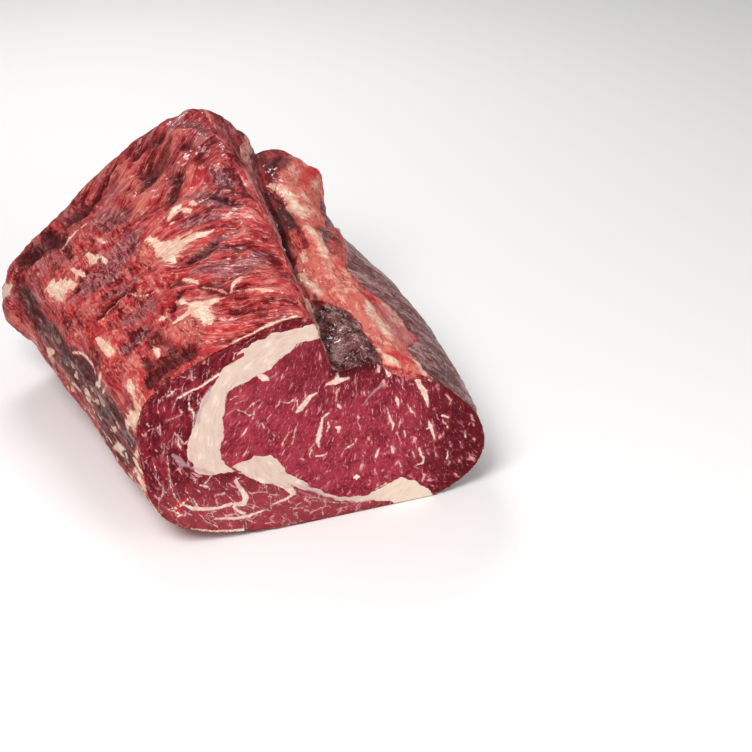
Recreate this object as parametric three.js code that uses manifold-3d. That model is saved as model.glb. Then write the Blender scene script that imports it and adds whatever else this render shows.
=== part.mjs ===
// A boneless beef rib roast, cut flat at the front and resting on its trimmed underside.
// Millimetres, +Z up. The roast runs along Y with its cut face at the low end, and the origin is
// on the ground under the middle of its bounding box.
// It has four solids: the eye muscle, the layer of fat that winds round it from the ridge to the
// underside, the cap muscle outside that layer, and the fat left along the chine side.

import * as THREE from 'three';
import { LoftGeometry } from 'three/addons/geometries/LoftGeometry.js';
import { ImprovedNoise } from 'three/addons/math/ImprovedNoise.js';
import { mergeVertices } from 'three/addons/utils/BufferGeometryUtils.js';
import Module from 'manifold-3d';

// ---------------------------------------------------------------- driving dimensions

const LENGTH = 240;              // cut face to the far end
const CLEARANCE = 0.3;           // gap between solids that touch
const WELD = 1e-4;               // points nearer than this are one

const STATIONS = 30;             // sections along the length
const SPAN_SAMPLES = 5;          // points between one line of the outline and the next
const RIM_ROUND = 1.2;           // edge of the cut face
const END_ROUND = 15;            // edge of the far end
const END_ROUND_ANGLES = [20, 40, 60, 80];
const END_DOME = 4;              // how far the middle of the far end bulges
const END_UNEVENNESS = 3;
const END_RING_SIZES = [0.75, 0.5, 0.3, 0.12];

const FRONT_CENTRE = [5, 55];    // [x, z] that the sections shrink towards
const BACK_CENTRE = [0, 66];

// Lines that run the length of the roast, in order round the section, clockwise from the front.
// front and back are [x, z] at the two ends, and bow is how far the line strays half-way along.
const LINES = {
  ridge: { front: [-3, 122], back: [13, 158], bow: [5, -1] },
  ridgeFoot: { front: [5, 104], back: [37, 140], bow: [-1, -3] },
  groove: { front: [11, 89], back: [50, 122], bow: [-6, 1] },
  crustTop: { front: [31, 89], back: [56, 124], bow: [-10, 3] },
  chine: { front: [57, 79], back: [69, 120], bow: [-14, 6] },
  shoulder: { front: [80, 62], back: [76, 80], bow: [9, 6] },
  shoulderLow: { front: [95, 43], back: [98, 54], bow: [12, 1] },
  side: { front: [98, 24], back: [102, 30], bow: [9, 0] },
  toe: { front: [88, 9], back: [93, 9], bow: [6, 0] },
  baseRight: { front: [62, -1], back: [66, -4], bow: [2, 0] },
  baseLeft: { front: [-48, 4], back: [-58, -6], bow: [0, 0] },
  heel: { front: [-79, 16], back: [-90, 13], bow: [-3, 0] },
  flankLow: { front: [-91, 35], back: [-108, 30], bow: [0, 0] },
  flank: { front: [-94, 56], back: [-119, 45], bow: [2, 0] },
  flankHigh: { front: [-95, 74], back: [-115, 68], bow: [3, 0] },
  ribEdge: { front: [-90, 92], back: [-101, 84], bow: [0, 0] },
  ribMid: { front: [-68, 106], back: [-70, 109], bow: [0, 0] },
  ribBrow: { front: [-43, 115], back: [-31, 142], bow: [0, 0] },
};

// Lumps and hollows on the surface: where, how far they reach along the surface, how far they rise.
const LUMPS = {
  backHollow: { at: [-27, 188, 139], reach: 18, rise: -7 },
  hollowRidge: { at: [-9, 182, 147], reach: 13, rise: 3 },
  flap: { at: [-117, 214, 47], reach: 16, rise: 5 },
  knob: { at: [-112, 221, 74], reach: 9, rise: 5 },
  backSlope: { at: [38, 220, 138], reach: 14, rise: 5 },
  chineLump: { at: [84, 210, 106], reach: 19, rise: 18 },
  lobeNotch: { at: [76, 172, 104], reach: 12, rise: -5 },
  redLobe: { at: [74, 148, 104], reach: 12, rise: 4 },
  grooveMuscle: { at: [36, 125, 104], reach: 15, rise: 5 },
  crust: { at: [34, 22, 90], reach: 18, rise: 2 },
};

const RIB_SPACING = 42;          // the shallow beds that the ribs left
const RIB_BED_DEPTH = 2.2;
const RIB_BED_SLANT = 0.35;      // how far a bed runs back for each millimetre across
const RIB_BED_SHARE = 0.6;       // of that depth, before a bed deepens or fades along its run
const RIB_BED_WANDER = 22;       // how far a bed strays from its place
const RIB_WANDER_SIZE = 70;
const RIB_SIDE_RISES = [84, 98]; // heights between which the rib beds fade in
const RIB_SIDE_ENDS = [6, -6];   // and the places across, at the ridge
const UNEVENNESS = 2;            // of the whole outer surface
const UNEVEN_SIZE = 26;
const TRIMMED_SHARE = 0.35;      // of the relief that is left at the two ends
const TRIMMED_LENGTH = 20;
const CHINE_LOBES = 2.6;         // of the fat and scraps of lean on the chine side
const CHINE_LOBE_SIZE = 14;
const CHINE_SIDE_RISES = [76, 90];
const CHINE_SIDE_STARTS = [14, 24];

// The fat layer on the cut face, from beyond the ridge round the eye to the underside.
const FAT_LAYER = [
  { at: [24, 112.5], half: 5 },
  { at: [3, 113], half: 4.2 },
  { at: [-12, 112], half: 4.4 },
  { at: [-26, 106], half: 9 },
  { at: [-39, 100], half: 8 },
  { at: [-50, 92], half: 5 },
  { at: [-55.5, 81], half: 6.2 },
  { at: [-58, 69], half: 8.2 },
  { at: [-60.5, 59], half: 9.3 },
  { at: [-59, 50.5], half: 8 },
  { at: [-53, 44.5], half: 4 },
  { at: [-46.5, 43], half: 1.6 },
  { at: [-38, 42.5], half: 4.8 },
  { at: [-29.5, 39.5], half: 8.2 },
  { at: [-21, 32.5], half: 4.8 },
  { at: [-12, 26.5], half: 2.2 },
  { at: [-1, 18.8], half: 1.2 },
  { at: [12, 11.5], half: 1.2 },
  { at: [25, 8.2], half: 1.6 },
  { at: [35, 8], half: 3.2 },
  { at: [46, 9], half: 6.8 },
  { at: [56, 5], half: 6 },
  { at: [68, -10], half: 5.5 },
];
const FAT_STATIONS = 9;
const FAT_SAMPLES = 34;
const FAT_OVERRUN = 8;           // past both ends, so that the layer is cut off flush
const FAT_SINK = 9;              // how much deeper it lies under the ridge at the far end
const LINE_REACH = 1;            // within this far of a line, a point moves just as the line does

// The chine fat: an oval strip that lies in the surface, a little left of the chine line.
const CHINE_HALF_WIDTH = [18, 16, 19];   // at the front, in the middle and at the back
const CHINE_SHIFT = [-6, -7, 0];
const CHINE_DEPTH = [6, 8, 15];
const CHINE_STATIONS = 11;
const CHINE_SIDES = 16;

// ---------------------------------------------------------------- materials

const MATERIALS = {
  eye: new THREE.MeshStandardMaterial({ color: 0x9d4049, roughness: 0.45, metalness: 0 }),
  cap: new THREE.MeshStandardMaterial({ color: 0x8f3f43, roughness: 0.5, metalness: 0 }),
  fat: new THREE.MeshStandardMaterial({ color: 0xf0d9c9, roughness: 0.5, metalness: 0 }),
  chineFat: new THREE.MeshStandardMaterial({ color: 0xca7d72, roughness: 0.5, metalness: 0 }),
};

// ---------------------------------------------------------------- helpers

const wasm = await Module();
wasm.setup();

const noise = new ImprovedNoise();
const { clamp, degToRad, lerp, mapLinear } = THREE.MathUtils;

function solidFrom(geometry) {
  const bare = new THREE.BufferGeometry();
  bare.setAttribute('position', geometry.attributes.position);
  bare.setIndex(geometry.index);
  const merged = mergeVertices(bare, WELD);
  const vertProperties = new Float32Array(merged.attributes.position.array);
  const triVerts = new Uint32Array(merged.index.array);
  return new wasm.Manifold(new wasm.Mesh({ numProp: 3, vertProperties, triVerts }));
}

function geometryFrom(solid) {
  const mesh = solid.getMesh();
  const geometry = new THREE.BufferGeometry();
  geometry.setAttribute('position', new THREE.Float32BufferAttribute(mesh.vertProperties, 3));
  geometry.setIndex(new THREE.Uint32BufferAttribute(mesh.triVerts, 1));
  geometry.computeVertexNormals();
  return geometry;
}

// A value given at the front, in the middle and at the back, as a smooth run along the length.
function along([front, middle, back], t) {
  const curve = new THREE.QuadraticBezierCurve(
    new THREE.Vector2(0, front),
    new THREE.Vector2(0.5, 2 * middle - (front + back) / 2),
    new THREE.Vector2(1, back),
  );
  return curve.getPoint(t).y;
}

// 0 at from, 1 at to, and held at those values outside.
function between([from, to], value) {
  return clamp((value - from) / (to - from), 0, 1);
}

function unevenness(x, y, z, size) {
  return noise.noise(x / size, y / size, z / size);
}

function lineAt(line, t) {
  const bow = Math.sin(Math.PI * t);
  return line.front.map((start, axis) => lerp(start, line.back[axis], t) + line.bow[axis] * bow);
}

// ---------------------------------------------------------------- outer form

// How far the surface stands out at a point, from its lumps, the rib beds and its unevenness.
function relief(x, y, z) {
  let rise = 0;
  for (const lump of Object.values(LUMPS)) {
    const [lumpX, lumpY, lumpZ] = lump.at;
    const distance = Math.hypot(x - lumpX, y - lumpY, z - lumpZ) / lump.reach;
    rise += lump.rise * Math.exp(-distance * distance);
  }
  const wander = unevenness(x, y, z, RIB_WANDER_SIZE);
  const bedPlace = y + x * RIB_BED_SLANT + RIB_BED_WANDER * wander;
  const bed = Math.cos(2 * Math.PI * bedPlace / RIB_SPACING);
  const onRibs = between(RIB_SIDE_RISES, z) * between(RIB_SIDE_ENDS, x);
  rise += RIB_BED_DEPTH * bed * (RIB_BED_SHARE + wander) * onRibs;
  const onChine = between(CHINE_SIDE_RISES, z) * between(CHINE_SIDE_STARTS, x);
  rise += CHINE_LOBES * unevenness(x, y, z, CHINE_LOBE_SIZE) * onChine;
  rise += UNEVENNESS * unevenness(x, y, z, UNEVEN_SIZE);
  return rise;
}

// The outline of the roast at t along its length, shrunk towards its centre by inset millimetres.
function outlineAt(t, y, inset = 0) {
  const corners = Object.values(LINES).map((line) => {
    const [x, z] = lineAt(line, t);
    return new THREE.Vector3(x, 0, z);
  });
  const curve = new THREE.CatmullRomCurve3(corners, true, 'centripetal');
  const count = corners.length * SPAN_SAMPLES;
  const centreX = lerp(FRONT_CENTRE[0], BACK_CENTRE[0], t);
  const centreZ = lerp(FRONT_CENTRE[1], BACK_CENTRE[1], t);
  const fromEnd = Math.min(y, LENGTH - y);
  const share = lerp(TRIMMED_SHARE, 1, between([0, TRIMMED_LENGTH], fromEnd));
  const points = [];
  for (let i = 0; i < count; i += 1) {
    const place = curve.getPoint(i / count);
    const tangent = curve.getTangent(i / count);
    const rise = relief(place.x, y, place.z) * share;
    const outX = place.x - tangent.z * rise;
    const outZ = place.z + tangent.x * rise;
    const reach = Math.hypot(outX - centreX, outZ - centreZ);
    const scale = 1 - inset / reach;
    const z = centreZ + (outZ - centreZ) * scale;
    points.push(new THREE.Vector3(centreX + (outX - centreX) * scale, y, Math.max(0, z)));
  }
  return points;
}

// A ring of the far end: its rim shrunk to size, on a low uneven dome.
function shrunkRing(ring, size) {
  const centre = new THREE.Vector3(BACK_CENTRE[0], LENGTH, BACK_CENTRE[1]);
  const ringSway = Math.sin(Math.PI * size);
  return ring.map((point) => {
    const place = centre.clone().lerp(point, size);
    place.y = LENGTH + END_DOME * (1 - size * size);
    place.y += END_UNEVENNESS * unevenness(place.x, LENGTH, place.z, UNEVEN_SIZE) * ringSway;
    return place;
  });
}

function makeBody() {
  const sections = [outlineAt(0, 0, RIM_ROUND)];
  const straight = LENGTH - END_ROUND;
  for (let i = 0; i <= STATIONS; i += 1) {
    const y = mapLinear(i, 0, STATIONS, RIM_ROUND, straight);
    sections.push(outlineAt(y / LENGTH, y));
  }
  for (const angle of END_ROUND_ANGLES.map(degToRad)) {
    const y = straight + END_ROUND * Math.sin(angle);
    sections.push(outlineAt(y / LENGTH, y, END_ROUND * (1 - Math.cos(angle))));
  }
  const rim = sections[sections.length - 1];
  for (const size of END_RING_SIZES) {
    sections.push(shrunkRing(rim, size));
  }
  return solidFrom(new LoftGeometry(sections, { capStart: true, capEnd: true }));
}

// ---------------------------------------------------------------- inner layers

// A point of the cut face carried along the length: it moves as the lines near it move.
function carried(x, z, t) {
  let total = 0;
  let moveX = 0;
  let moveZ = 0;
  for (const line of Object.values(LINES)) {
    const [startX, startZ] = line.front;
    const [nowX, nowZ] = lineAt(line, t);
    const weight = 1 / ((x - startX) ** 2 + (z - startZ) ** 2 + LINE_REACH ** 2);
    total += weight;
    moveX += weight * (nowX - startX);
    moveZ += weight * (nowZ - startZ);
  }
  return [x + moveX / total, z + moveZ / total];
}

function makeFatLayer(grow = 0) {
  const middle = new THREE.CatmullRomCurve3(
    FAT_LAYER.map(({ at, half }) => new THREE.Vector3(at[0], half, at[1])), false, 'centripetal',
  );
  const inner = [];
  const outer = [];
  for (let i = 0; i <= FAT_SAMPLES; i += 1) {
    const place = middle.getPoint(i / FAT_SAMPLES);
    const tangent = middle.getTangent(i / FAT_SAMPLES);
    const across = new THREE.Vector2(-tangent.z, tangent.x).normalize().multiplyScalar(place.y + grow);
    inner.push([place.x + across.x, place.z + across.y]);
    outer.unshift([place.x - across.x, place.z - across.y]);
  }
  const sections = [];
  for (let i = 0; i <= FAT_STATIONS; i += 1) {
    const y = mapLinear(i, 0, FAT_STATIONS, -FAT_OVERRUN, LENGTH + FAT_OVERRUN);
    const t = clamp(y / LENGTH, 0, 1);
    sections.push([...inner, ...outer].map(([x, z]) => {
      const [nowX, nowZ] = carried(x, z, t);
      return new THREE.Vector3(nowX, y, nowZ - FAT_SINK * t * z / LINES.ridge.front[1]);
    }));
  }
  return solidFrom(new LoftGeometry(sections, { capStart: true, capEnd: true }));
}

function makeChineStrip(grow = 0) {
  const sections = [];
  for (let i = 0; i <= CHINE_STATIONS; i += 1) {
    const y = mapLinear(i, 0, CHINE_STATIONS, -FAT_OVERRUN, LENGTH + FAT_OVERRUN);
    const t = clamp(y / LENGTH, 0, 1);
    const [chineX, chineZ] = lineAt(LINES.chine, t);
    const [leftX, leftZ] = lineAt(LINES.crustTop, t);
    const [rightX, rightZ] = lineAt(LINES.shoulder, t);
    const tilt = Math.atan2(rightZ - leftZ, rightX - leftX);
    const shift = along(CHINE_SHIFT, t);
    const halfWidth = along(CHINE_HALF_WIDTH, t) + grow;
    const depth = along(CHINE_DEPTH, t) + grow;
    const section = [];
    for (let side = 0; side < CHINE_SIDES; side += 1) {
      const angle = -2 * Math.PI * side / CHINE_SIDES;
      const wide = shift + halfWidth * Math.cos(angle);
      const deep = depth * Math.sin(angle);
      section.push(new THREE.Vector3(
        chineX + wide * Math.cos(tilt) - deep * Math.sin(tilt),
        y,
        chineZ + wide * Math.sin(tilt) + deep * Math.cos(tilt),
      ));
    }
    sections.push(section);
  }
  return solidFrom(new LoftGeometry(sections, { capStart: true, capEnd: true }));
}

// ---------------------------------------------------------------- the roast

const body = makeBody();
const lean = body.subtract(makeFatLayer(CLEARANCE)).subtract(makeChineStrip(CLEARANCE));
const [eye, cap] = lean.decompose().sort((a, b) => b.volume() - a.volume());
const fatLayer = body.intersect(makeFatLayer());
const chineFat = body.intersect(makeChineStrip()).subtract(makeFatLayer(CLEARANCE));

const roast = new THREE.Group();
const pieces = [
  ['eye_muscle', eye, MATERIALS.eye],
  ['cap_muscle', cap, MATERIALS.cap],
  ['fat_layer', fatLayer, MATERIALS.fat],
  ['chine_fat', chineFat, MATERIALS.chineFat],
];
for (const [name, solid, material] of pieces) {
  const mesh = new THREE.Mesh(geometryFrom(solid), material);
  mesh.name = name;
  roast.add(mesh);
}

const bounds = new THREE.Box3().setFromObject(roast);
const middle = bounds.getCenter(new THREE.Vector3());
roast.position.set(-middle.x, -middle.y, -bounds.min.z);

export default roast;
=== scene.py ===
"""A raw boneless beef rib roast, cut flat at the front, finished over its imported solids.

The outside of the four solids is modelled as one skin with fibres, lobes and wrinkles. The skin is
then cut along the layer of fat and the fat of the chine side into the roast's four pieces, so that
neighbours share their walls. Lengths in the tables below are millimetres from the left-right
middle of the cut face: x to the right, y back from the cut face, z up from the ground.
"""

import itertools
import math

import bmesh
import bpy
import numpy as np
from bpy.props import FloatProperty, FloatVectorProperty, PointerProperty
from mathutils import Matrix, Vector
from mathutils.kdtree import KDTree


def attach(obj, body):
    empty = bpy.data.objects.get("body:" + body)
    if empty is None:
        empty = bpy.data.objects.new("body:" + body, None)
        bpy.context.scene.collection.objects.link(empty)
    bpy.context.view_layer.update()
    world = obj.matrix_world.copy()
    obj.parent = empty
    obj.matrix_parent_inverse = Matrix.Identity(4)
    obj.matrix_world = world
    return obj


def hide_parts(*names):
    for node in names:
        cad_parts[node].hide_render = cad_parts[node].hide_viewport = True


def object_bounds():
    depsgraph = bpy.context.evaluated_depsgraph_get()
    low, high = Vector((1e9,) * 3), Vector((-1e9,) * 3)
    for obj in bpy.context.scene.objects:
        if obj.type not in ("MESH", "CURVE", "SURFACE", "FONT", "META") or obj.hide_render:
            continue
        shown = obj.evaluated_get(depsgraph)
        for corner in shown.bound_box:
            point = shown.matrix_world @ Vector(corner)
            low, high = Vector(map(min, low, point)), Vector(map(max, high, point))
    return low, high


bl_info = {
    "name": "Beef Rib Roast",
    "version": (1, 0, 0),
    "blender": (4, 5, 0),
    "location": "View3D > Sidebar > Roast",
    "description": "Models and finishes a raw boneless beef rib roast",
    "category": "Object",
}

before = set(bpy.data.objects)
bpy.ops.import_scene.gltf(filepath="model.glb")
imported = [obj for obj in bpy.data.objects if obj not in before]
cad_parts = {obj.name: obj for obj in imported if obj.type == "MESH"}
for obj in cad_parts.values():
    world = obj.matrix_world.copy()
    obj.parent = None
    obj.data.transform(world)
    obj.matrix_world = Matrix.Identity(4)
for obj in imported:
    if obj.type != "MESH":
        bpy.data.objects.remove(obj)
CAD_BOX = [list(corner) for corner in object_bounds()]

MM = 0.001
MIDLINE_X = 0.00525  # the sections' zero line across, in metres
ORIGIN = np.array([MIDLINE_X, CAD_BOX[0][1], 0.0])
LENGTH = (CAD_BOX[1][1] - CAD_BOX[0][1]) / MM

# Each piece's name, the solid it stands for and that solid's material slot.
PIECES = (
    ("Eye", "eye_muscle", "eye_lean"),
    ("Cap", "cap_muscle", "cap_lean"),
    ("Fat_layer", "fat_layer", "white_fat"),
    ("Chine_fat", "chine_fat", "chine_fat"),
)

# The crest between the rib side and the chine side, seen from above, in millimetres.
FRONT_RIDGE_X, BACK_RIDGE_X, RIDGE_BOW = -3.0, 13.0, 5.0

# How the fibres of the rib side slant, along the roast: millimetres back for one to the right.
FIBRE_ROWS, FIBRE_SLANTS = (0, 30, 60, 95, 165, 240), (-0.5, -0.7, -0.65, -0.4, 0.6, 0.75)
FIBRE_PIVOT_X = -50.0

SKIN_GROWTH = 0.25 * MM  # lets the solids' skins run into one
ROUNDING = 10, 0.5  # rounds and weight of the smoothing that takes the voxels' steps away
NORMAL_ROUNDING = 12, 0.5
CUT_FACE_DEPTH = 1.5  # millimetres behind the cut face in which the walls are finest
WALL_EDGES = (12 * MM, 6 * MM, 3.2 * MM)
FRONT_WALL_EDGES = (1.6 * MM, 0.8 * MM)
CUTTER_REACH = 7 * MM
OUTER_DEPTH, OUTER_DISTANCE = 1.0 * MM, 1.6 * MM  # a wall's point this near the skin is outside
SMALLEST_CAP = 0.2  # of the eye's points
SHARP_ANGLE = math.radians(55)


# ------------------------------------------------------------------ settings


def tint(name, text, red, green, blue):
    """A colour setting, its default given as 0 to 255 on a screen."""
    return FloatVectorProperty(
        name=name,
        description=text,
        subtype="COLOR_GAMMA",
        size=3,
        min=0.0,
        max=1.0,
        default=(red / 255, green / 255, blue / 255),
    )


def length(name, text, millimetres):
    """A length setting, its default given in millimetres."""
    return FloatProperty(
        name=name, description=text, unit="LENGTH", default=millimetres * MM, min=0.0, precision=5
    )


class RoastShape(bpy.types.PropertyGroup):
    """How finely the roast is modelled and how deep its relief is"""

    voxel: length("Voxel", "Size of the faces of the skin", 1.35)
    fibres: length("Fibres", "Height of the fibres on the rib side", 0.6)
    bundles: length("Bundles", "Height of the bundles that the fibres form", 1.4)
    lobes: length("Lobes", "Height of the lobes of the chine fat", 0.9)
    wrinkles: length("Wrinkles", "Height of the wrinkles of the dry crust", 2.0)
    side_fibres: length("Side fibres", "Height of the fibres on the left flank", 1.1)
    ragged: length("Ragged edge", "How far the edge of the fat strays", 1.3)


class RoastColours(bpy.types.PropertyGroup):
    """Colours of lean and fat"""

    eye: tint("Eye", "Cut face of the eye", 156, 50, 66)
    eye_dark: tint("Eye, dark", "Darker lean of the eye", 106, 24, 38)
    eye_light: tint("Eye, light", "Lean round the flecks of fat", 192, 84, 90)
    cap: tint("Cap", "Cut face of the cap", 136, 38, 50)
    cap_dark: tint("Cap, dark", "Darker lean of the cap", 84, 16, 26)
    marbling: tint("Marbling", "Flecks of fat in the lean", 220, 160, 160)
    fat: tint("Fat", "Cut face of the fat", 209, 184, 170)
    fat_shade: tint("Fat, shaded", "Ridges and edges of the fat", 198, 160, 146)
    cream: tint("Cream", "Scraps of fat on the outside", 237, 220, 198)
    salmon: tint("Salmon", "Fat with blood in it", 208, 112, 100)
    crimson: tint("Crimson", "Fresh lean on the outside", 174, 50, 55)
    scarlet: tint("Scarlet", "Brightest lean on the outside", 198, 48, 49)
    maroon: tint("Maroon", "Old lean on the outside", 98, 18, 24)
    film: tint("Film", "Thin pale film over the lean", 210, 134, 126)
    veil: tint("Veil", "Thin mauve membrane over the lean", 150, 100, 110)
    nerve: tint("Nerve", "Bluish nerves and tendons on the cut", 176, 142, 152)
    peach: tint("Peach", "Palest of the chine fat", 230, 176, 152)
    dried: tint("Dried", "Dry brown-grey surface", 116, 72, 70)
    # Deepest dry colour, also laid on as painted shade in the hollows, the gaps between fibres and
    # the groove.
    dried_dark: tint("Dried, dark", "Deepest of the dry surface", 58, 16, 18)
    # Silver is partly pale dry membrane and partly a painted sheen on the folds and raised parts of
    # the dry skin.
    silver: tint("Silver", "Silvery sheen of the dry surface", 186, 150, 150)


class RoastStage(bpy.types.PropertyGroup):
    """The floor, the lights and the camera"""

    floor: tint("Floor", "Colour of the floor", 245, 244, 243)
    key: FloatProperty(name="Key", description="Strength of the main light", default=9.6, min=0)
    fill: FloatProperty(name="Fill", description="Strength of the fill light", default=4.0, min=0)
    back: FloatProperty(name="Back", description="Strength of the rear light", default=4.5, min=0)
    sky: FloatProperty(name="Sky", description="Light from all round", default=0.32, min=0)


# ------------------------------------------------------------------ features

# Strokes on the outside, seen from above: points of (x, y, half width).
TOP_STROKES = {
    "cream": (
        (
            (-53, 127, 1.5), (-48, 119, 3), (-44, 111, 6), (-43, 104, 7.5), (-47, 96, 4),
            (-46, 91, 1),
        ),
        ((-43, 110, 6), (-35, 106, 6), (-28, 102, 3.5), (-21, 101, 1)),
        ((-62, 42, 1.5), (-55, 43, 3), (-49, 43, 5), (-42, 43, 3.5), (-35, 40.5, 0.8)),
        ((-49, 43, 6), (-48, 34, 5.5), (-48, 27, 3.5), (-48, 21, 0.8)),
        ((-55, 60, 0.8), (-52, 54, 1.5), (-49, 48, 2.5)),
        ((-47, 74, 0.8), (-45, 69, 1.6), (-42, 63, 0.8)),
        ((-40, 60, 0.5), (-33, 48, 0.7), (-30, 42, 0.5)), ((-29, 44, 1.5), (-24, 47, 2)),
        ((-29, 41, 0.4), (-18, 31, 0.5), (-7, 22, 0.4)),
        ((-27, 39, 0.3), (-16, 28, 0.5), (-8, 24, 0.4)),
        ((-38, 130, 1.5), (-33, 135, 2.6), (-30, 135, 1.5)), ((-28, 131, 2), (-26, 128, 1.5)),
        ((-23, 134, 1.8), (-22, 131, 1.2)), ((-38, 125, 1.2), (-37, 125, 1.2)),
        ((-103, 169, 1.5), (-99, 160, 3.5), (-96, 151, 5.5), (-91, 144, 2)),
        ((-89, 158, 1), (-87, 150, 2.2), (-84.5, 144, 0.8)),
        ((-79, 162, 1.2), (-77, 150, 2.4), (-73, 139, 1)), ((-70.5, 168, 0.7), (-69.5, 157, 1.3)),
        ((-88, 191, 0.6), (-80, 192, 0.8), (-70, 190, 0.5)), ((-17, 184, 0.7), (-16.5, 181, 0.7)),
        ((-65, 54.5, 1.5), (-64, 53.5, 1.5)), ((-94, 82, 1), (-93.5, 72, 2), (-91.5, 60, 2.2)),
        ((-88, 92, 0.5), (-80, 94, 0.7), (-74, 95, 0.5), (-68, 86, 0.5), (-59.5, 81, 0.5)),
        ((-75, 32, 1.2), (-75, 27, 2.4), (-76, 22, 0.8)),
        ((-92, 24, 2.5), (-93, 14, 3.2), (-94, 2, 3.6)),
        ((-44, 1, 0.5), (-32, 1.8, 1), (-22, 2.2, 1.3), (-12, 1.4, 0.9), (-6, 0.6, 0.4)),
        ((19.5, 66, 0.8), (17.5, 50, 0.9), (14.5, 34, 0.8), (12, 16, 0.6)),
        ((24, 88, 2), (25, 76, 4), (27, 65, 2.5)),
        ((42, 190, 2), (46, 176, 4), (46, 150, 4), (45, 140, 2)),
        ((42, 126, 2), (45, 112, 4), (44, 102, 2.5)),
        ((54, 62, 2), (52, 48, 4.5), (52, 30, 4.5), (51, 22, 1.5)), ((60, 178, 3), (56, 165, 3)),
        ((39, 11, 2), (40.5, 5, 3.4), (41.5, 0, 3.6)), ((46, 6, 1), (47, 0, 1.4)),
        ((56, 9, 1.2), (60.5, 4, 2.2), (64, 0, 2.8)),
    ),
    "salmon": (
        ((-43, 214, 4), (-43, 200, 4.5), (-40, 186, 4.5), (-42, 174, 6), (-44, 160, 4)),
        ((-2, 204, 4), (-9, 208, 4), (-15, 202, 3), (-23, 194, 3), (-27, 185, 3), (-37, 178, 5)),
        ((-12, 168, 3), (-17, 158, 3)), ((-47, 184, 2.5), (-45, 172, 2)),
        ((-92, 118, 3), (-90, 104, 5)), ((-74, 150, 3), (-74, 144, 2)),
        ((-60, 32, 5), (-58, 16, 4)), ((-14, 46, 4), (-9, 36, 4)), ((-86, 38, 3), (-84, 28, 3)),
        ((-52, 92, 3), (-54, 122, 4), (-46, 128, 3)), ((-6, 98, 2.5), (-8, 84, 2.5)),
        ((30, 64, 4), (24, 92, 4), (30, 97, 4)),
    ),
    "scarlet": (
        ((-86, 112, 4), (-84, 100, 5)), ((-59, 116, 4), (-57, 98, 5)), ((-48, 88, 5), (-46, 78, 5)),
        ((-42, 92, 2), (-32, 96, 2.5), (-20, 98, 3)), ((-8, 98, 5), (-4, 88, 5)),
        ((-40, 81, 3), (-29, 77, 2.5), (-16, 73, 2.5), (-2, 69, 2)), ((-60, 28, 5), (-56, 16, 5)),
        ((-38, 36, 4), (-34, 24, 6)), ((-87, 88, 4), (-84, 74, 4)), ((-16, 16, 3), (-14, 9, 3)),
        ((-60, 66, 4), (-56, 56, 3)), ((-10, 182, 6), (-12, 160, 5)),
        ((-40, 160, 4), (-34, 152, 4)), ((-68, 158, 2), (-67, 146, 2)),
        ((-104, 146, 3), (-98, 128, 3)), ((-98, 100, 4), (-94, 40, 4)),
        ((32, 118, 4), (30, 106, 4)), ((34, 168, 2), (35, 158, 3)),
        ((53, 98, 3), (56, 110, 6), (61, 126, 7), (66, 144, 5)),
        ((66, 196, 5), (72, 204, 5), (79, 212, 5)), ((46, 8, 3), (56, 6, 4)),
    ),
    # Dark hollows, sunk into the relief and painted dark: partly the lean's own dark colour, partly
    # painted shade.
    "shade": (
        ((-39, 181, 3), (-33, 186, 5), (-26, 192, 5), (-20, 201, 4), (-14, 207, 2)),
        ((-102, 222, 6), (-98, 208, 4)), ((-88, 224, 4), (-87, 198, 5)),
        ((-74, 216, 5), (-68, 204, 4), (-56, 214, 4)), ((-34, 214, 3), (-20, 216, 5)),
        ((-8, 196, 3), (-7, 188, 3)), ((-12, 132, 1.5), (-7, 126, 2.5), (-4, 118, 2)),
        ((-41, 60, 3), (-36, 52, 3.5), (-32, 45, 2)), ((-52, 63, 2), (-58, 56, 2)),
        ((-24, 90, 3), (-38, 86, 3)), ((-71, 46, 3), (-70, 32, 3), (-69, 20, 3.5)),
        ((-84, 12, 4), (-74, 12, 5), (-62, 11, 5)), ((-82, 30, 2), (-81, 20, 3)),
        ((-88, 96, 2.5), (-76, 96, 2.5)), ((-24, 176, 3), (-20, 170, 3), (-30, 150, 4)),
        ((-96, 142, 1), (-90, 139, 1)), ((-34, 30, 2), (-22, 14, 2)),
        ((22, 112, 4), (26, 130, 4), (30, 150, 4), (35, 182, 3)),
        ((38, 168, 4), (36, 140, 5), (33, 126, 4)), ((56, 212, 6), (48, 200, 4), (46, 194, 3)),
        ((50, 126, 3), (58, 128, 4), (56, 134, 3)), ((23, 58, 1.5), (24, 66, 1)),
        ((22, 84, 1.6), (23, 104, 2.2), (27, 128, 2.4), (31, 150, 2.2), (33, 166, 1.4)),
    ),
    "veil": (
        ((-20, 138, 4), (-10, 128, 6), (-4, 116, 5)), ((-64, 186, 6), (-58, 174, 7), (-54, 162, 4)),
        ((-36, 72, 6), (-26, 64, 9), (-14, 60, 8), (-6, 66, 4)),
        ((-86, 134, 8), (-70, 132, 9), (-58, 138, 7)), ((-2, 158, 4), (-2, 150, 4), (2, 140, 4)),
        ((-32, 88, 5), (-20, 90, 4)), ((-76, 74, 8), (-66, 70, 7)), ((-30, 120, 5), (-18, 112, 5)),
        ((-78, 108, 6), (-68, 104, 6)), ((-2, 214, 6), (4, 200, 5)), ((-86, 54, 4), (-76, 54, 5)),
        ((72, 60, 5), (62, 56, 5), (64, 30, 6)), ((50, 130, 2), (54, 126, 2.5)),
        ((40, 212, 5), (60, 218, 6)),
    ),
}

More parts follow.
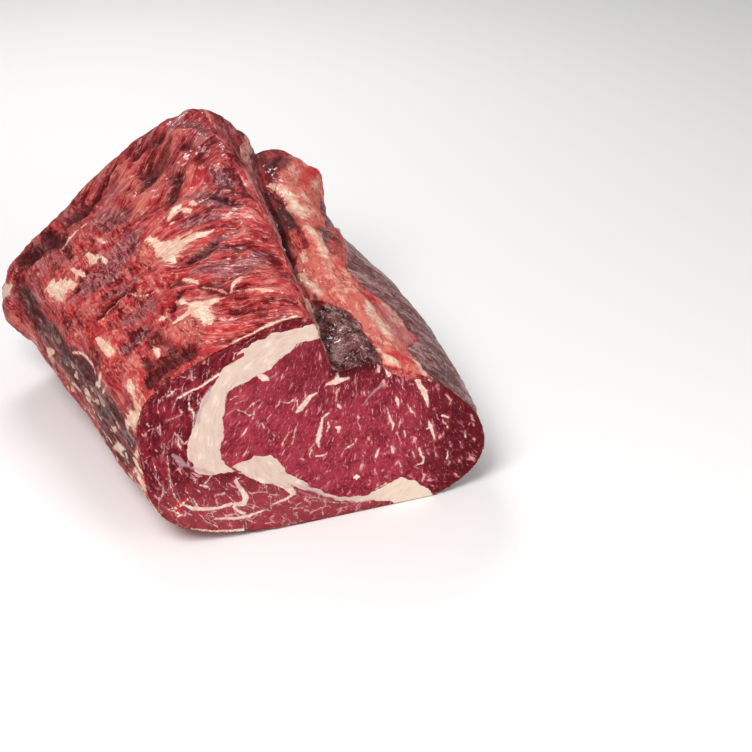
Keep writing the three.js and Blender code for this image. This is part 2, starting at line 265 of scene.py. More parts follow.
# Rolls that stand out of the chine side, seen from above: a height in millimetres, then points
# of (x, y, half width).
ROLLS = (
    (2.6, ((36, 176, 3), (35, 155, 5), (33, 132, 6), (30, 108, 6.5), (30, 99, 4))),
    (2.4, ((51, 98, 3), (56, 110, 6.5), (61, 126, 8), (66, 142, 6), (69, 150, 2.5))),
    (1.4, ((23, 88, 3), (24, 76, 4.5), (26, 64, 3))),
    (1.6, ((40, 6, 6), (50, 4, 8), (58, 7, 5))),
    (1.0, ((47, 14, 6), (49, 32, 8), (50, 58, 7))),
    (1.2, ((68, 26, 5), (68, 46, 7), (66, 62, 5))),
    (1.5, ((48, 68, 8), (40, 84, 9), (43, 104, 7), (44, 128, 6), (44, 142, 4))),
    (2.0, ((50, 144, 7), (53, 164, 10), (54, 186, 8), (50, 196, 4))),
    (1.8, ((66, 190, 6), (72, 202, 7), (80, 214, 5))),
)

# The salmon fat of the chine side, seen from above: rows of (y, its left edge, its right edge).
CHINE_SIDE = (
    (0, 37, 64), (12, 38, 63), (20, 38, 62), (42, 37, 74), (52, 36, 75), (58, 28, 73), (64, 20, 69),
    (75, 20, 65), (92, 21, 56), (100, 27, 52), (112, 37, 51), (134, 39, 50), (142, 40, 62),
    (165, 40, 66), (190, 44, 74), (205, 50, 84), (216, 60, 84), (222, 70, 72),
)

# Strokes on the left flank, seen from the left: points of (y, z, half width).
FLANK_STROKES = {
    "cream": (
        ((0, 86, 5), (8, 79, 5), (17, 71, 2.5)), ((1, 64, 3), (6, 58, 2)),
        ((61, 77, 2.5), (65, 71, 2.5), (70, 68, 1)),
        ((71, 73.5, 0.8), (76, 76.5, 1.1), (86, 77, 1.1), (96, 74.5, 0.9), (106, 71, 0.8)),
        ((30, 50, 1.5), (42, 44, 3), (55, 36, 1.5)), ((36, 59, 1), (48, 52, 1.8)),
        ((50, 77, 1), (56, 71, 1.2)), ((136, 58, 1.5), (147, 53, 3), (152, 52, 1)),
        ((98, 52, 1.5), (108, 49, 2)), ((212, 66, 3), (222, 60, 5)), ((14, 46, 1.5), (20, 40, 1.2)),
        ((0, 34, 2), (3, 24, 3), (8, 14, 2.5)),
    ),
    "salmon": (
        ((176, 50, 4), (195, 47, 6), (215, 48, 6)), ((96, 51, 3), (112, 51, 4), (130, 50, 4)),
        ((3, 50, 6), (8, 40, 6)), ((3, 88, 8), (12, 92, 5)), ((150, 92, 4), (165, 88, 3)),
    ),
    "scarlet": (
        ((22, 86, 6), (50, 86, 6), (80, 88, 5)), ((124, 84, 3), (140, 78, 4), (160, 72, 4)),
        ((198, 58, 5), (210, 56, 5)), ((206, 77, 2), (222, 77, 3)),
    ),
    # On the flank these mark a darker band of the lean.
    "shade": (
        (
            (8, 68, 5), (16, 64, 8), (50, 60, 12), (90, 62, 12), (130, 62, 9), (160, 62, 5),
            (195, 70, 7),
        ),
        ((16, 52, 6), (40, 44, 9), (70, 46, 8)), ((200, 84, 4), (214, 84, 5)),
    ),
    "veil": (
        ((40, 72, 4), (80, 70, 5), (120, 68, 4)), ((60, 48, 6), (100, 56, 5)),
    ),
}

# Strands on the cut face, seen from the front: points of (x, z, half width).
FACE_STRANDS = {
    "strand": (
        ((38.5, 92, 2), (40.5, 87.5, 3), (41.2, 84, 2.4), (41, 80.5, 1.4)),
        ((35, 92, 1.2), (35.4, 83.5, 0.8)), ((45.6, 88, 1.3), (47.6, 81.8, 0.8)),
        ((50, 81, 1), (54, 77.4, 1.8), (57, 75.6, 1)),
        ((58.6, 80.4, 1.4), (62, 76, 1.9), (65.4, 72.6, 0.8)),
        ((57, 76, 1.8), (58.6, 71, 1.4), (61.4, 66.4, 1.8), (63, 61.4, 1.3), (63.6, 57, 0.5)),
        ((6, 82, 0.7), (12, 82.8, 2.1), (18.5, 83.4, 0.8)), ((12, 83.5, 1.7), (12.4, 88.4, 0.6)),
        ((0.5, 78, 0.7), (-3, 76.8, 1.2), (-5.6, 73.7, 1.7), (-8, 71, 1.7), (-10.6, 69.2, 0.8)),
        ((-31.5, 98.5, 1.8), (-30, 95, 1.7), (-28, 92.8, 1.9), (-25.4, 91.4, 1.1)),
        ((-10, 76.5, 0.4), (-9.8, 72, 0.6)),
        ((-19, 77, 0.35), (-14.5, 75.4, 0.55), (-12, 76.8, 0.35)),
        (
            (-48, 75.5, 0.3), (-43.5, 78, 0.4), (-38.5, 75, 0.4), (-36, 72.5, 0.55),
            (-33.5, 72.8, 0.5),
        ),
        ((-33.8, 79, 0.4), (-33.2, 75.5, 0.5), (-34.4, 70, 0.35)),
        ((-38, 75.5, 0.3), (-34, 79, 0.4), (-30, 80.3, 0.3)),
        ((-47, 83, 0.3), (-43, 85.2, 0.4), (-40, 84.6, 0.3)), ((-43, 81, 0.3), (-38, 82, 0.3)),
        ((8, 65.3, 0.4), (5.5, 64, 0.8), (3.6, 62.5, 0.8), (2.8, 57.5, 1.1), (1.6, 53, 1.6)),
        ((1.6, 53, 1.6), (0.8, 49, 1.3), (1.8, 45.5, 0.6)),
        ((-0.5, 40.6, 0.5), (2.5, 40, 0.9), (6, 40.6, 0.4)), ((-2.6, 44.8, 0.7), (-4.2, 41.6, 0.4)),
        ((-7, 39.8, 0.5), (-9, 41.2, 0.3)), ((6.6, 60, 0.5), (7.3, 57, 0.7), (6, 54, 0.5)),
        ((10.5, 56, 0.4), (13, 54.8, 1.3), (12.4, 52.2, 0.7)),
        ((16, 41.2, 0.4), (18.5, 42.2, 0.8), (21.5, 43.6, 0.4)),
        ((40, 61, 0.4), (41.2, 57, 0.7), (42.2, 53, 0.9), (43.8, 50.5, 0.9), (43, 46.8, 0.5)),
        ((44.8, 68, 0.5), (46, 64.5, 1.2), (46.6, 60.8, 0.6)),
        ((53.2, 59, 0.4), (53.6, 56.5, 0.9), (55.6, 55, 0.6)),
        ((64.2, 48, 0.6), (65.4, 44.5, 1.2), (66.6, 41, 1.1), (68.2, 35.6, 0.5)),
        ((63.2, 43.5, 0.5), (66.5, 44.6, 0.8)), ((72, 49.8, 0.7), (75.8, 48, 0.7)),
        ((74.2, 44.6, 0.5), (75.6, 41.5, 0.6)), ((77.5, 58.6, 0.6), (76.4, 56, 0.4)),
        ((59, 32, 0.9), (59.6, 29, 0.9), (61.6, 25.5, 0.8), (61.4, 22.6, 0.7), (56.5, 22, 0.4)),
        ((42.6, 37, 0.6), (43.6, 33.4, 1.1)), ((35.6, 37.4, 0.5), (34, 33.8, 1.2), (33.4, 32, 0.6)),
        ((50, 45, 0.5), (50.8, 41.6, 0.6)), ((76, 27, 0.5), (75.6, 22.6, 0.8)),
        ((86, 37, 0.5), (86.4, 33, 0.6)), ((83, 31, 0.4), (84.6, 27, 0.5)),
        ((12.4, 68.6, 0.9), (13.8, 66.6, 0.9)), ((-11.8, 55, 0.3), (-13.4, 51, 0.6)),
        ((-18.2, 53.6, 0.6), (-19, 50.4, 0.5)), ((-15, 58, 0.3), (-17.5, 54, 0.4)),
        ((-37.4, 65.5, 0.4), (-39.6, 62.5, 0.8), (-41.4, 60.8, 0.3)),
        ((-29.4, 66.8, 0.4), (-28.4, 63.8, 0.6)), ((-24, 59.4, 0.4), (-22.5, 57.4, 0.5)),
        ((-44, 52.4, 0.4), (-43.6, 50.4, 0.6)), ((27, 73.6, 0.5), (27.6, 71, 0.5)),
        ((55, 31, 0.5), (56.4, 27, 0.5)), ((47, 27, 0.5), (48.4, 23, 0.6)),
        ((68, 29, 0.4), (69.4, 25, 0.5)), ((33, 12, 0.4), (40, 14.6, 0.6)),
        (
            (-42.6, 37, 0.5), (-45, 35.6, 1), (-43.6, 32.5, 1.2), (-41.4, 28.5, 1.4),
            (-39.6, 24, 1.9),
        ),
        ((-39.6, 24, 1.9), (-41, 20.6, 1.7), (-46, 21.6, 1.1)),
        ((-73, 27.4, 0.7), (-68.6, 24, 1.3), (-62, 22.2, 1.2), (-55, 21.2, 1), (-48, 22, 1.2)),
        ((-46.6, 20, 1), (-44.6, 17, 0.9), (-41, 14.4, 1.1)),
        ((-24, 29, 0.9), (-18.5, 26.6, 1.8), (-14.8, 23, 2), (-12.8, 20.4, 1.3)),
        ((-13.4, 20.2, 1), (-16.6, 18.4, 1.1), (-20, 17.4, 0.9), (-25.5, 16.4, 0.4)),
        (
            (-57, 15, 0.5), (-51, 14, 0.9), (-46, 12.6, 1), (-39, 12.4, 1.2), (-34, 13.2, 0.9),
            (-29, 14, 0.5),
        ),
        ((-70, 12, 0.5), (-59, 7.6, 1), (-50, 5.4, 1.3), (-42, 4.6, 1)),
        ((-31, 13.6, 0.4), (-32, 11.4, 0.4)),
        ((-62, 18.6, 0.3), (-57, 16, 0.4), (-53.6, 13.6, 0.5)),
        ((-16, 12.4, 0.3), (-11, 10.6, 0.5), (-5, 10.6, 0.3)),
        ((-3, 13.6, 0.3), (3, 12, 0.4), (12, 8.6, 0.4), (24, 6.6, 0.5)),
        ((-56, 43.5, 0.3), (-60, 38.8, 0.5), (-63, 36.4, 0.5), (-61, 35, 0.3)),
        ((-72, 90, 0.5), (-67, 92.6, 0.8), (-61, 94.2, 0.7), (-55, 97.4, 0.9), (-46, 101.8, 0.8)),
        (
            (-67.4, 87.4, 0.4), (-67.6, 83, 0.6), (-65.2, 80.4, 0.6), (-65.6, 75, 0.5),
            (-66.4, 70, 0.4),
        ),
        ((-74.2, 70, 0.4), (-74, 65, 0.6), (-73, 60.4, 0.5)),
        ((-83, 66, 0.4), (-82.4, 61, 0.5), (-83.2, 56, 0.3)),
        ((-78.6, 92, 0.4), (-73.6, 95.4, 0.5)), ((-77, 96, 0.4), (-75.4, 92.6, 0.4)),
        ((-64, 37, 0.6), (-60.4, 36, 0.8), (-59, 33.4, 0.4)), ((-68, 30, 0.5), (-66, 24.6, 0.6)),
        ((-76, 84.5, 0.3), (-73.4, 90, 0.5), (-69, 92.4, 0.4)),
        ((-80, 78.6, 0.3), (-75, 79.4, 0.45), (-71, 80.6, 0.3)),
        ((-74, 103.4, 0.3), (-70, 101.6, 0.4), (-62, 99.5, 0.3)),
        ((-84, 77, 0.3), (-84.6, 74, 0.5), (-83, 70.6, 0.3)),
        ((-67.6, 86, 0.3), (-66, 82.4, 0.4), (-66.4, 79, 0.3)),
        ((-80.4, 60, 0.3), (-80, 50, 0.45), (-79.6, 40, 0.4), (-77.6, 33, 0.5), (-75, 28.6, 0.5)),
        ((-88, 58, 0.25), (-86.6, 51, 0.4), (-86.8, 45, 0.25)),
        ((-84, 44, 0.25), (-83.4, 38, 0.4), (-80.4, 34, 0.25)),
        ((-71, 29.6, 0.4), (-66, 26.4, 0.3)), ((-85, 30, 0.3), (-80, 25.6, 0.5), (-77, 24.8, 0.5)),
        ((-75.6, 67.6, 0.3), (-75, 63, 0.4)),
    ),
    "nerve": (
        ((-12, 22.4, 0.5), (-2, 15.6, 0.6), (8, 10.6, 0.4)),
        ((-77.4, 58, 1), (-74.4, 55, 1.7), (-72, 51.4, 1.2), (-69.4, 50, 1)),
        ((-68, 48.6, 0.9), (-63, 46, 1.2), (-57, 43, 0.7)),
        ((-62, 81, 1.2), (-63.6, 77.6, 1.9), (-62.8, 74, 0.8)),
        ((-55.6, 93, 1), (-58, 88, 1.8), (-60.4, 83, 1)), ((-25, 91.6, 0.6), (-20, 93.6, 0.4)),
        ((-8, 26, 0.5), (-4, 21.6, 0.9), (2, 18, 0.7), (6, 14, 0.6)),
        ((6, 14, 0.6), (14, 10.6, 0.5), (26, 9.4, 0.4)),
        ((37, 75.5, 1), (32.4, 72.4, 0.9), (29, 69, 0.6), (26, 65.2, 0.4)),
        ((-11, 25.6, 0.5), (-6.5, 21.8, 0.8), (-1, 18.6, 0.7), (4, 15, 0.6), (12, 11, 0.4)),
    ),
    "cleft": (
        ((-50, 48.6, 0.5), (-48, 45.4, 0.7), (-45.6, 42.6, 0.6), (-42.6, 40, 0.9)),
        ((-47.6, 103.6, 0.4), (-43.4, 106.2, 1.5), (-38.4, 108, 1.1)),
        ((-16, 27, 0.3), (-9, 21.6, 0.4)),
    ),
    "knot": (
        ((-77.4, 26.4, 1.2), (-74, 28.6, 1.3), (-71, 30.6, 0.6)),
        ((-77, 25, 1), (-76, 21.8, 1.3), (-73, 21.6, 0.5)), ((-80.6, 27.4, 0.5), (-77, 26, 0.8)),
    ),
    "spot": (
        ((21.4, 22.6, 0.9), (23.6, 22.4, 0.9)), ((22.4, 24, 0.6), (22.6, 20.8, 0.6)),
    ),
}


# ------------------------------------------------------------------ numbers


NOISE_CELLS = 256
NOISE_GAIN = 1.5
OCTAVE_SHIFT = 17.3


def gradient_noise(places, seed):
    """Smooth noise between about -1 and 1 at each row of places."""
    draw = np.random.default_rng(seed)
    order = draw.permutation(NOISE_CELLS)
    slopes = draw.normal(size=(NOISE_CELLS, 3))
    slopes /= np.linalg.norm(slopes, axis=1)[:, None]
    cell = np.floor(places).astype(int)
    inside = places - cell
    ease = inside**3 * (inside * (inside * 6 - 15) + 10)
    total = np.zeros(len(places))
    for corner in itertools.product((0, 1), repeat=3):
        spot = (cell + corner) % NOISE_CELLS
        key = order[spot[:, 0]]
        for axis in (1, 2):
            key = order[(key + spot[:, axis]) % NOISE_CELLS]
        weight = np.prod(np.where(corner, ease, 1 - ease), axis=1)
        total += weight * np.einsum("ij,ij->i", slopes[key], inside - corner)
    return total * NOISE_GAIN


def noise_at(x, y, z, sizes, seed, octaves=1):
    """Noise with its own size along each axis; each further octave is half the size and height."""
    places = np.stack([x / sizes[0], y / sizes[1], z / sizes[2]], axis=1)
    return sum(
        gradient_noise(places * 2**k + OCTAVE_SHIFT * k, seed + k) / 2**k for k in range(octaves)
    )


def smooth(value, low, high):
    """0 at low, 1 at high, and eased between."""
    share = np.clip((value - low) / (high - low), 0, 1)
    return share * share * (3 - 2 * share)


def stroke_reach(across, up, strokes, relative):
    """How deep each point lies in the nearest stroke: in half widths if relative, else in mm."""
    best = np.full(len(across), -9.0)
    for stroke in strokes:
        for (a0, b0, w0), (a1, b1, w1) in itertools.pairwise(stroke):
            run, rise = a1 - a0, b1 - b0
            part = ((across - a0) * run + (up - b0) * rise) / (run * run + rise * rise)
            part = np.clip(part, 0, 1)
            away = np.hypot(across - a0 - part * run, up - b0 - part * rise)
            half = w0 + part * (w1 - w0)
            best = np.maximum(best, 1 - away / half if relative else half - away)
    return best


def in_millimetres(places):
    """Rows of frame places as x, y and z in the tables' millimetres."""
    return ((places - ORIGIN) / MM).T


def ridge_x(y):
    share = y / LENGTH
    straight = FRONT_RIDGE_X + (BACK_RIDGE_X - FRONT_RIDGE_X) * share
    return straight + RIDGE_BOW * np.sin(np.pi * share)


def across_fibres(x, y, z):
    """Where a point lies across the fibres of the rib side, which fan out down the slope."""
    slant = np.interp(y, FIBRE_ROWS, FIBRE_SLANTS)
    return y - slant * (x - FIBRE_PIVOT_X) + 5 * noise_at(x, y, z, (60, 60, 60), 5)


# ------------------------------------------------------------------ skin


def merged_copy(node, grow):
    """A closed copy of a solid, its faces moved out by grow metres."""
    shape = bmesh.new()
    shape.from_mesh(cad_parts[node].data)
    bmesh.ops.remove_doubles(shape, verts=shape.verts, dist=1e-6)
    shape.normal_update()
    for vert in shape.verts:
        vert.co += vert.normal * grow
    return shape


def as_object(shape, name):
    """An object with a bmesh's faces, which frees the bmesh."""
    mesh = bpy.data.meshes.new(name)
    shape.to_mesh(mesh)
    shape.free()
    made = bpy.data.objects.new(name, mesh)
    bpy.context.scene.collection.objects.link(made)
    return made


def drop(*things):
    """Deletes objects together with their meshes."""
    for thing in things:
        mesh = thing.data
        bpy.data.objects.remove(thing)
        bpy.data.meshes.remove(mesh)


def evaluated(thing):
    """The object's mesh with its modifiers applied."""
    graph = bpy.context.evaluated_depsgraph_get()
    return bpy.data.meshes.new_from_object(thing.evaluated_get(graph))


def voxel_skin(size, grow):
    """One closed skin round all four solids."""
    joined = bmesh.new()
    for _, node, _ in PIECES:
        grown = merged_copy(node, grow)
        mesh = bpy.data.meshes.new(node)
        grown.to_mesh(mesh)
        grown.free()
        joined.from_mesh(mesh)
        bpy.data.meshes.remove(mesh)
    lump = as_object(joined, "lump")
    remesh = lump.modifiers.new("Voxels", "REMESH")
    remesh.mode = "VOXEL"
    remesh.voxel_size = size
    skin = evaluated(lump)
    drop(lump)
    return skin


def read_vectors(items, key, count):
    """One vector of each item, as rows."""
    flat = np.empty(count * 3, np.float32)
    items.foreach_get(key, flat)
    return flat.reshape(-1, 3).astype(float)


def spread(values, edges, rounds, weight):
    """Each point's values drawn towards its neighbours' by weight, rounds times."""
    count = len(values)
    ends = np.concatenate([edges[:, 0], edges[:, 1]])
    others = np.concatenate([edges[:, 1], edges[:, 0]])
    degree = np.bincount(ends, minlength=count)[:, None]
    for _ in range(rounds):
        total = np.stack(
            [np.bincount(ends, values[others, k], count) for k in range(3)], axis=1
        )
        values = values + weight * (total / degree - values)
    return values


def zones(x, y, z, normal):
    """How much each point belongs to each part of the outside."""
    right_of_ridge = x - ridge_x(y)
    up = smooth(normal[:, 2], 0.2, 0.5)
    ribs = up * smooth(-right_of_ridge, -1, 5) * smooth(z, 66, 84)
    slope = smooth(right_of_ridge, -3, 3) * smooth(normal[:, 0], 0.35, 0.7) * smooth(z, 84, 100)
    slope *= smooth(-right_of_ridge, -44, -34)
    flank = smooth(-normal[:, 0], 0.35, 0.75) * smooth(-x, 55, 75)
    end = smooth(normal[:, 1], 0.35, 0.75)
    cut = smooth(-normal[:, 1], 0.5, 0.9) * smooth(-y, -1.5, -0.5)
    rows, left, right = zip(*CHINE_SIDE)
    stray = 3.5 * noise_at(x, y, z, (12, 15, 12), 71, octaves=3)
    from_left = x - np.interp(y, rows, left) + stray
    from_right = np.interp(y, rows, right) - x + stray
    chine = smooth(from_left, -1, 1.5) * smooth(from_right, -1, 1.5)
    chine *= smooth(normal[:, 2], -0.1, 0.2) * smooth(z + 2 * stray, 64, 68)
    hollow = smooth(right_of_ridge, 2, 6) * smooth(-from_left, -1, 1.5) * smooth(z, 50, 66)
    crust = hollow * smooth(-y, -60, -52)
    side = smooth(-from_right, -1, 2) * smooth(x, 40, 50)
    open_air = (1 - end) * (1 - cut)
    return dict(
        ribs=ribs * open_air,
        slope=slope * (1 - chine) * open_air,
        flank=flank * (1 - ribs) * open_air,
        end=end,
        chine=chine * open_air,
        crust=crust * (1 - slope) * (1 - chine) * open_air,
        groove=(hollow - crust) * (1 - slope) * (1 - chine) * open_air,
        side=side * (1 - chine) * open_air,
        cut=cut,
    )


def billow(x, y, z, size, seed):
    """Rounded lumps between sharp creases."""
    sizes = (size, size, size) if np.isscalar(size) else size
    return np.abs(noise_at(x, y, z, sizes, seed)) * 2 - 0.6


def relief(x, y, z, zone, shape):
    """Height of the skin's relief in millimetres, and the same as a share of its depth there."""
    across = across_fibres(x, y, z)
    down = x * 0.95 + z * 0.3
    still = np.zeros_like(x)
    bundles = 0.8 * billow(across, down, still, (14, 50, 1), 11)
    bundles += noise_at(x, y, z, (24, 24, 24), 12, octaves=2)
    bundles += 0.6 * noise_at(across, down, still, (8, 22, 1), 13)
    lengthwise = smooth(-x + 12 * noise_at(x, y, z, (24, 24, 24), 6), 55, 60)
    fibres = (1 - lengthwise) * noise_at(across, down, still, (3.4, 20, 1), 21, octaves=2)
    fibres += lengthwise * noise_at(x, y, z, (3.4, 22, 6), 23, octaves=2)
    fibres += 0.7 * noise_at(x, y, z, (4, 4, 4), 22)
    rib_side = shape.bundles / MM * bundles + shape.fibres / MM * fibres
    run = noise_at(x, y, z, (4, 34, 4), 31, octaves=2)
    flank = shape.side_fibres / MM * run + 1.6 * noise_at(x, y, z, (13, 45, 13), 33)
    lobes = 1.2 * billow(x, y, z, (11, 17, 11), 41) + 0.5 * billow(x, y, z, (5, 8, 5), 42)
    beads = 0.9 * billow(x, y, z, 4.2, 43) * smooth(y, 56, 64) * smooth(-y, -100, -88)
    wrinkles = billow(x, y, z, (7, 13, 9), 51) + 0.25 * billow(x, y, z, (2.6, 5, 4), 52)
    wrinkles += 0.9 * noise_at(x, y, z, (12, 16, 12), 53)
    slanted = y * 0.55 + x * 0.5 + z * 0.6
    side = 0.5 * noise_at(slanted, x - y, z, (3.2, 40, 40), 61, octaves=2)
    side += 1.1 * noise_at(slanted, x - y, z, (13, 60, 40), 62)
    side += 1.0 * noise_at(x, y, z, (20, 34, 20), 63)
    end = 1.6 * noise_at(x, y, z, (12, 12, 12), 81, octaves=2)
    for name, rise in (("cream", 0.5), ("salmon", 1.3), ("shade", -1.9), ("veil", -0.3)):
        reach = stroke_reach(x, y, TOP_STROKES[name], True)
        reach += 0.5 * noise_at(x, y, z, (9, 9, 9), 14, octaves=2)
        rib_side += rise * smooth(reach, -0.7, 0.9)
    rolls = [
        rise * np.sqrt(smooth(stroke_reach(x, y, (stroke,), True), 0, 1)) for rise, stroke in ROLLS
    ]
    rolls = np.max(rolls, axis=0)
    parts = (
        ("ribs", rib_side, 2.0),
        ("slope", 0.9 * run, 1.0),
        ("flank", flank, 1.8),
        ("chine", shape.lobes / MM * lobes + rolls + beads + 0.8, 2.4),
        ("crust", shape.wrinkles / MM * wrinkles, 1.3),
        ("groove", rolls, 2.4),
        ("side", side + rolls, 1.0),
        ("end", end, 1.8),
    )
    height = sum(zone[name] * rise for name, rise, _ in parts)
    share = sum(zone[name] * rise / deep for name, rise, deep in parts)
    height *= 0.35 + 0.65 * smooth(y, 0, 4)
    height *= 1 - zone["cut"]
    height *= smooth(z, 0.5, 6)
    return height, share


def shape_skin(shape):
    """The skin as a mesh, its points without and with relief, their normals and their zones."""
    mesh = voxel_skin(shape.voxel, SKIN_GROWTH)
    count = len(mesh.vertices)
    places = read_vectors(mesh.vertices, "co", count)
    normals = read_vectors(mesh.vertex_normals, "vector", count)
    edges = np.empty(len(mesh.edges) * 2, np.int32)
    mesh.edges.foreach_get("vertices", edges)
    edges = edges.reshape(-1, 2)
    places -= normals * SKIN_GROWTH
    front, ground = CAD_BOX[0][1], 0.0
    on_cut = (places[:, 1] < front + 0.5 * shape.voxel) & (normals[:, 1] < -0.3)
    on_ground = places[:, 2] < ground + 0.4 * shape.voxel
    loose = smooth((places[:, 1] - front) / MM, 1.5, 5) * smooth(places[:, 2] / MM, 1, 4)
    rounded = spread(places, edges, *ROUNDING)
    places += (rounded - places) * loose[:, None]
    places[on_cut, 1] = front
    places[on_ground, 2] = ground
    wide = spread(normals, edges, *NORMAL_ROUNDING)
    wide /= np.linalg.norm(wide, axis=1)[:, None]
    x, y, z = in_millimetres(places)
    zone = zones(x, y, z, wide)
    height, share = relief(x, y, z, zone, shape)
    height[on_cut | on_ground] = 0
    moved = places + wide * (height * MM)[:, None]
    moved[:, 1] = np.where(on_cut, front, np.maximum(moved[:, 1], front))
    moved[:, 2] = np.maximum(moved[:, 2], ground)
    mesh.vertices.foreach_set("co", moved.astype(np.float32).ravel())
    mesh.update()
    zone["crest"] = share
    return mesh, places, moved, wide, zone


def finer_cut_face(mesh):
    """Halves the faces of the cut, for the thin strands in it."""
    shape = bmesh.new()
    shape.from_mesh(mesh)
    front = CAD_BOX[0][1] + 1e-6
    flat = [e for e in shape.edges if all(v.co.y < front for v in e.verts)]
    bmesh.ops.subdivide_edges(shape, edges=flat, cuts=1, use_grid_fill=True)
    bmesh.ops.triangulate(shape, faces=[f for f in shape.faces if len(f.verts) > 4])
    shape.to_mesh(mesh)
    shape.free()


# ------------------------------------------------------------------ pieces


def cutter(node, tree, places, normals, ragged):
    """A solid as a cutter: its outer faces pushed out of the skin, its walls made uneven."""
    shape = merged_copy(node, 0.0)
    front = CAD_BOX[0][1] + CUT_FACE_DEPTH * MM
    for longest in WALL_EDGES + FRONT_WALL_EDGES:
        long = [
            e
            for e in shape.edges
            if e.calc_length() > longest
            and (longest in WALL_EDGES or max(v.co.y for v in e.verts) < front)
        ]
        bmesh.ops.subdivide_edges(shape, edges=long, cuts=1)
        bmesh.ops.triangulate(shape, faces=shape.faces)
    spots = np.array([v.co for v in shape.verts])
    found = [tree.find(v.co) for v in shape.verts]
    index = np.array([hit[1] for hit in found])
    depth = np.einsum("ij,ij->i", spots - places[index], normals[index])
    distance = np.array([hit[2] for hit in found])
    outer = (np.abs(depth) < OUTER_DEPTH) & (distance < OUTER_DISTANCE)
    x, y, z = in_millimetres(spots)
    sway = np.stack(
        [
            noise_at(x, y, z, (7, 16, 7), seed, octaves=2)
            + 0.6 * noise_at(x, y, z, (2.4, 6, 2.4), seed + 9, octaves=2)
            for seed in (101, 111, 121)
        ],
        axis=1,
    )
    spots += sway * ragged
    spots += normals[index] * (outer * CUTTER_REACH)[:, None]
    for vert, spot in zip(shape.verts, spots):
        vert.co = spot
    return as_object(shape, node + "_cutter")


def cut(mesh, tool, operation):
    """mesh cut by the tool object, as a new mesh."""
    block = bpy.data.objects.new("block", mesh)
    bpy.context.scene.collection.objects.link(block)
    knife = block.modifiers.new("Cut", "BOOLEAN")
    knife.operation = operation
    knife.object = tool
    knife.solver = "MANIFOLD"
    result = evaluated(block)
    bpy.data.objects.remove(block)
    return result


def largest_parts(mesh, wanted):
    """The wanted largest loose parts of a mesh, largest first, each as a new mesh."""
    shape = bmesh.new()
    shape.from_mesh(mesh)
    shape.verts.ensure_lookup_table()
    part_of = [-1] * len(shape.verts)
    sizes = []
    for start in shape.verts:
        if part_of[start.index] >= 0:
            continue
        number = len(sizes)
        part_of[start.index] = number
        todo, size = [start], 0
        while todo:
            vert = todo.pop()
            size += 1
            for edge in vert.link_edges:
                other = edge.other_vert(vert)
                if part_of[other.index] < 0:
                    part_of[other.index] = number
                    todo.append(other)
        sizes.append(size)
    shape.free()
    parts = []
    for number in sorted(range(len(sizes)), key=lambda n: -sizes[n])[:wanted]:
        part = bmesh.new()
        part.from_mesh(mesh)
        part.verts.ensure_lookup_table()
        extra = [v for v in part.verts if part_of[v.index] != number]
        bmesh.ops.delete(part, geom=extra, context="VERTS")
        made = bpy.data.meshes.new("part")
        part.to_mesh(made)
        part.free()
        parts.append(made)
    return parts


def middle_x(mesh):
    """Where a mesh's points lie from left to right, on average."""
    return read_vectors(mesh.vertices, "co", len(mesh.vertices))[:, 0].mean()


def write_field(mesh, name, values):
    """Stores a number at each point of a mesh."""
    field = mesh.attributes.new(name, "FLOAT", "POINT")
    field.data.foreach_set("value", np.asarray(values, np.float32))


def add_fields(mesh, tree, outer_tree, zone):
    """Stores at each point what its finish needs: zones, relief, fibre place and strokes."""
    count = len(mesh.vertices)
    places = read_vectors(mesh.vertices, "co", count)
    nearest = np.array([tree.find(place)[1] for place in places])
    from_rim = np.array([outer_tree.find(place)[2] for place in places]) / MM
    write_field(mesh, "rim", 1 - smooth(from_rim, 0, 6))
    for name in ("ribs", "slope", "flank", "end", "chine", "crust", "groove", "side", "crest"):
        write_field(mesh, name, zone[name][nearest])
    x, y, z = in_millimetres(places)
    write_field(mesh, "across", across_fibres(x, y, z))
    from_top = ("ribs", "slope", "chine", "crust", "groove", "side")
    from_top = np.clip(sum(zone[name] for name in from_top)[nearest], 0, 1)
    from_side = zone["flank"][nearest]
    for name in TOP_STROKES:
        top = stroke_reach(x, y, TOP_STROKES[name], True)
        flank = stroke_reach(y, z, FLANK_STROKES[name], True)
        top = np.where(from_top > 0.05, top * from_top - (1 - from_top), -1)
        flank = np.where(from_side > 0.05, flank * from_side - (1 - from_side), -1)
        write_field(mesh, name, np.clip(np.maximum(top, flank), -1, 1))
    for name, strokes in FACE_STRANDS.items():
        write_field(mesh, name, np.clip(stroke_reach(x, z, strokes, False), -3, 3))


def make_piece(mesh, name, node, slot, trees, zone):
    """Dresses a mesh as the piece that stands for a solid."""
    add_fields(mesh, *trees, zone)
    mesh.name = name
    mesh.polygons.foreach_set("use_smooth", [True] * len(mesh.polygons))
    mesh.set_sharp_from_angle(angle=SHARP_ANGLE)
    piece = bpy.data.objects.new(name, mesh)
    bpy.context.scene.collection.objects.link(piece)
    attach(piece, "root")
    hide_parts(node)


def tree_of(places):
    """A tree that finds the nearest of places."""
    tree = KDTree(len(places))
    for index, place in enumerate(places):
        tree.insert(place, index)
    tree.balance()
    return tree


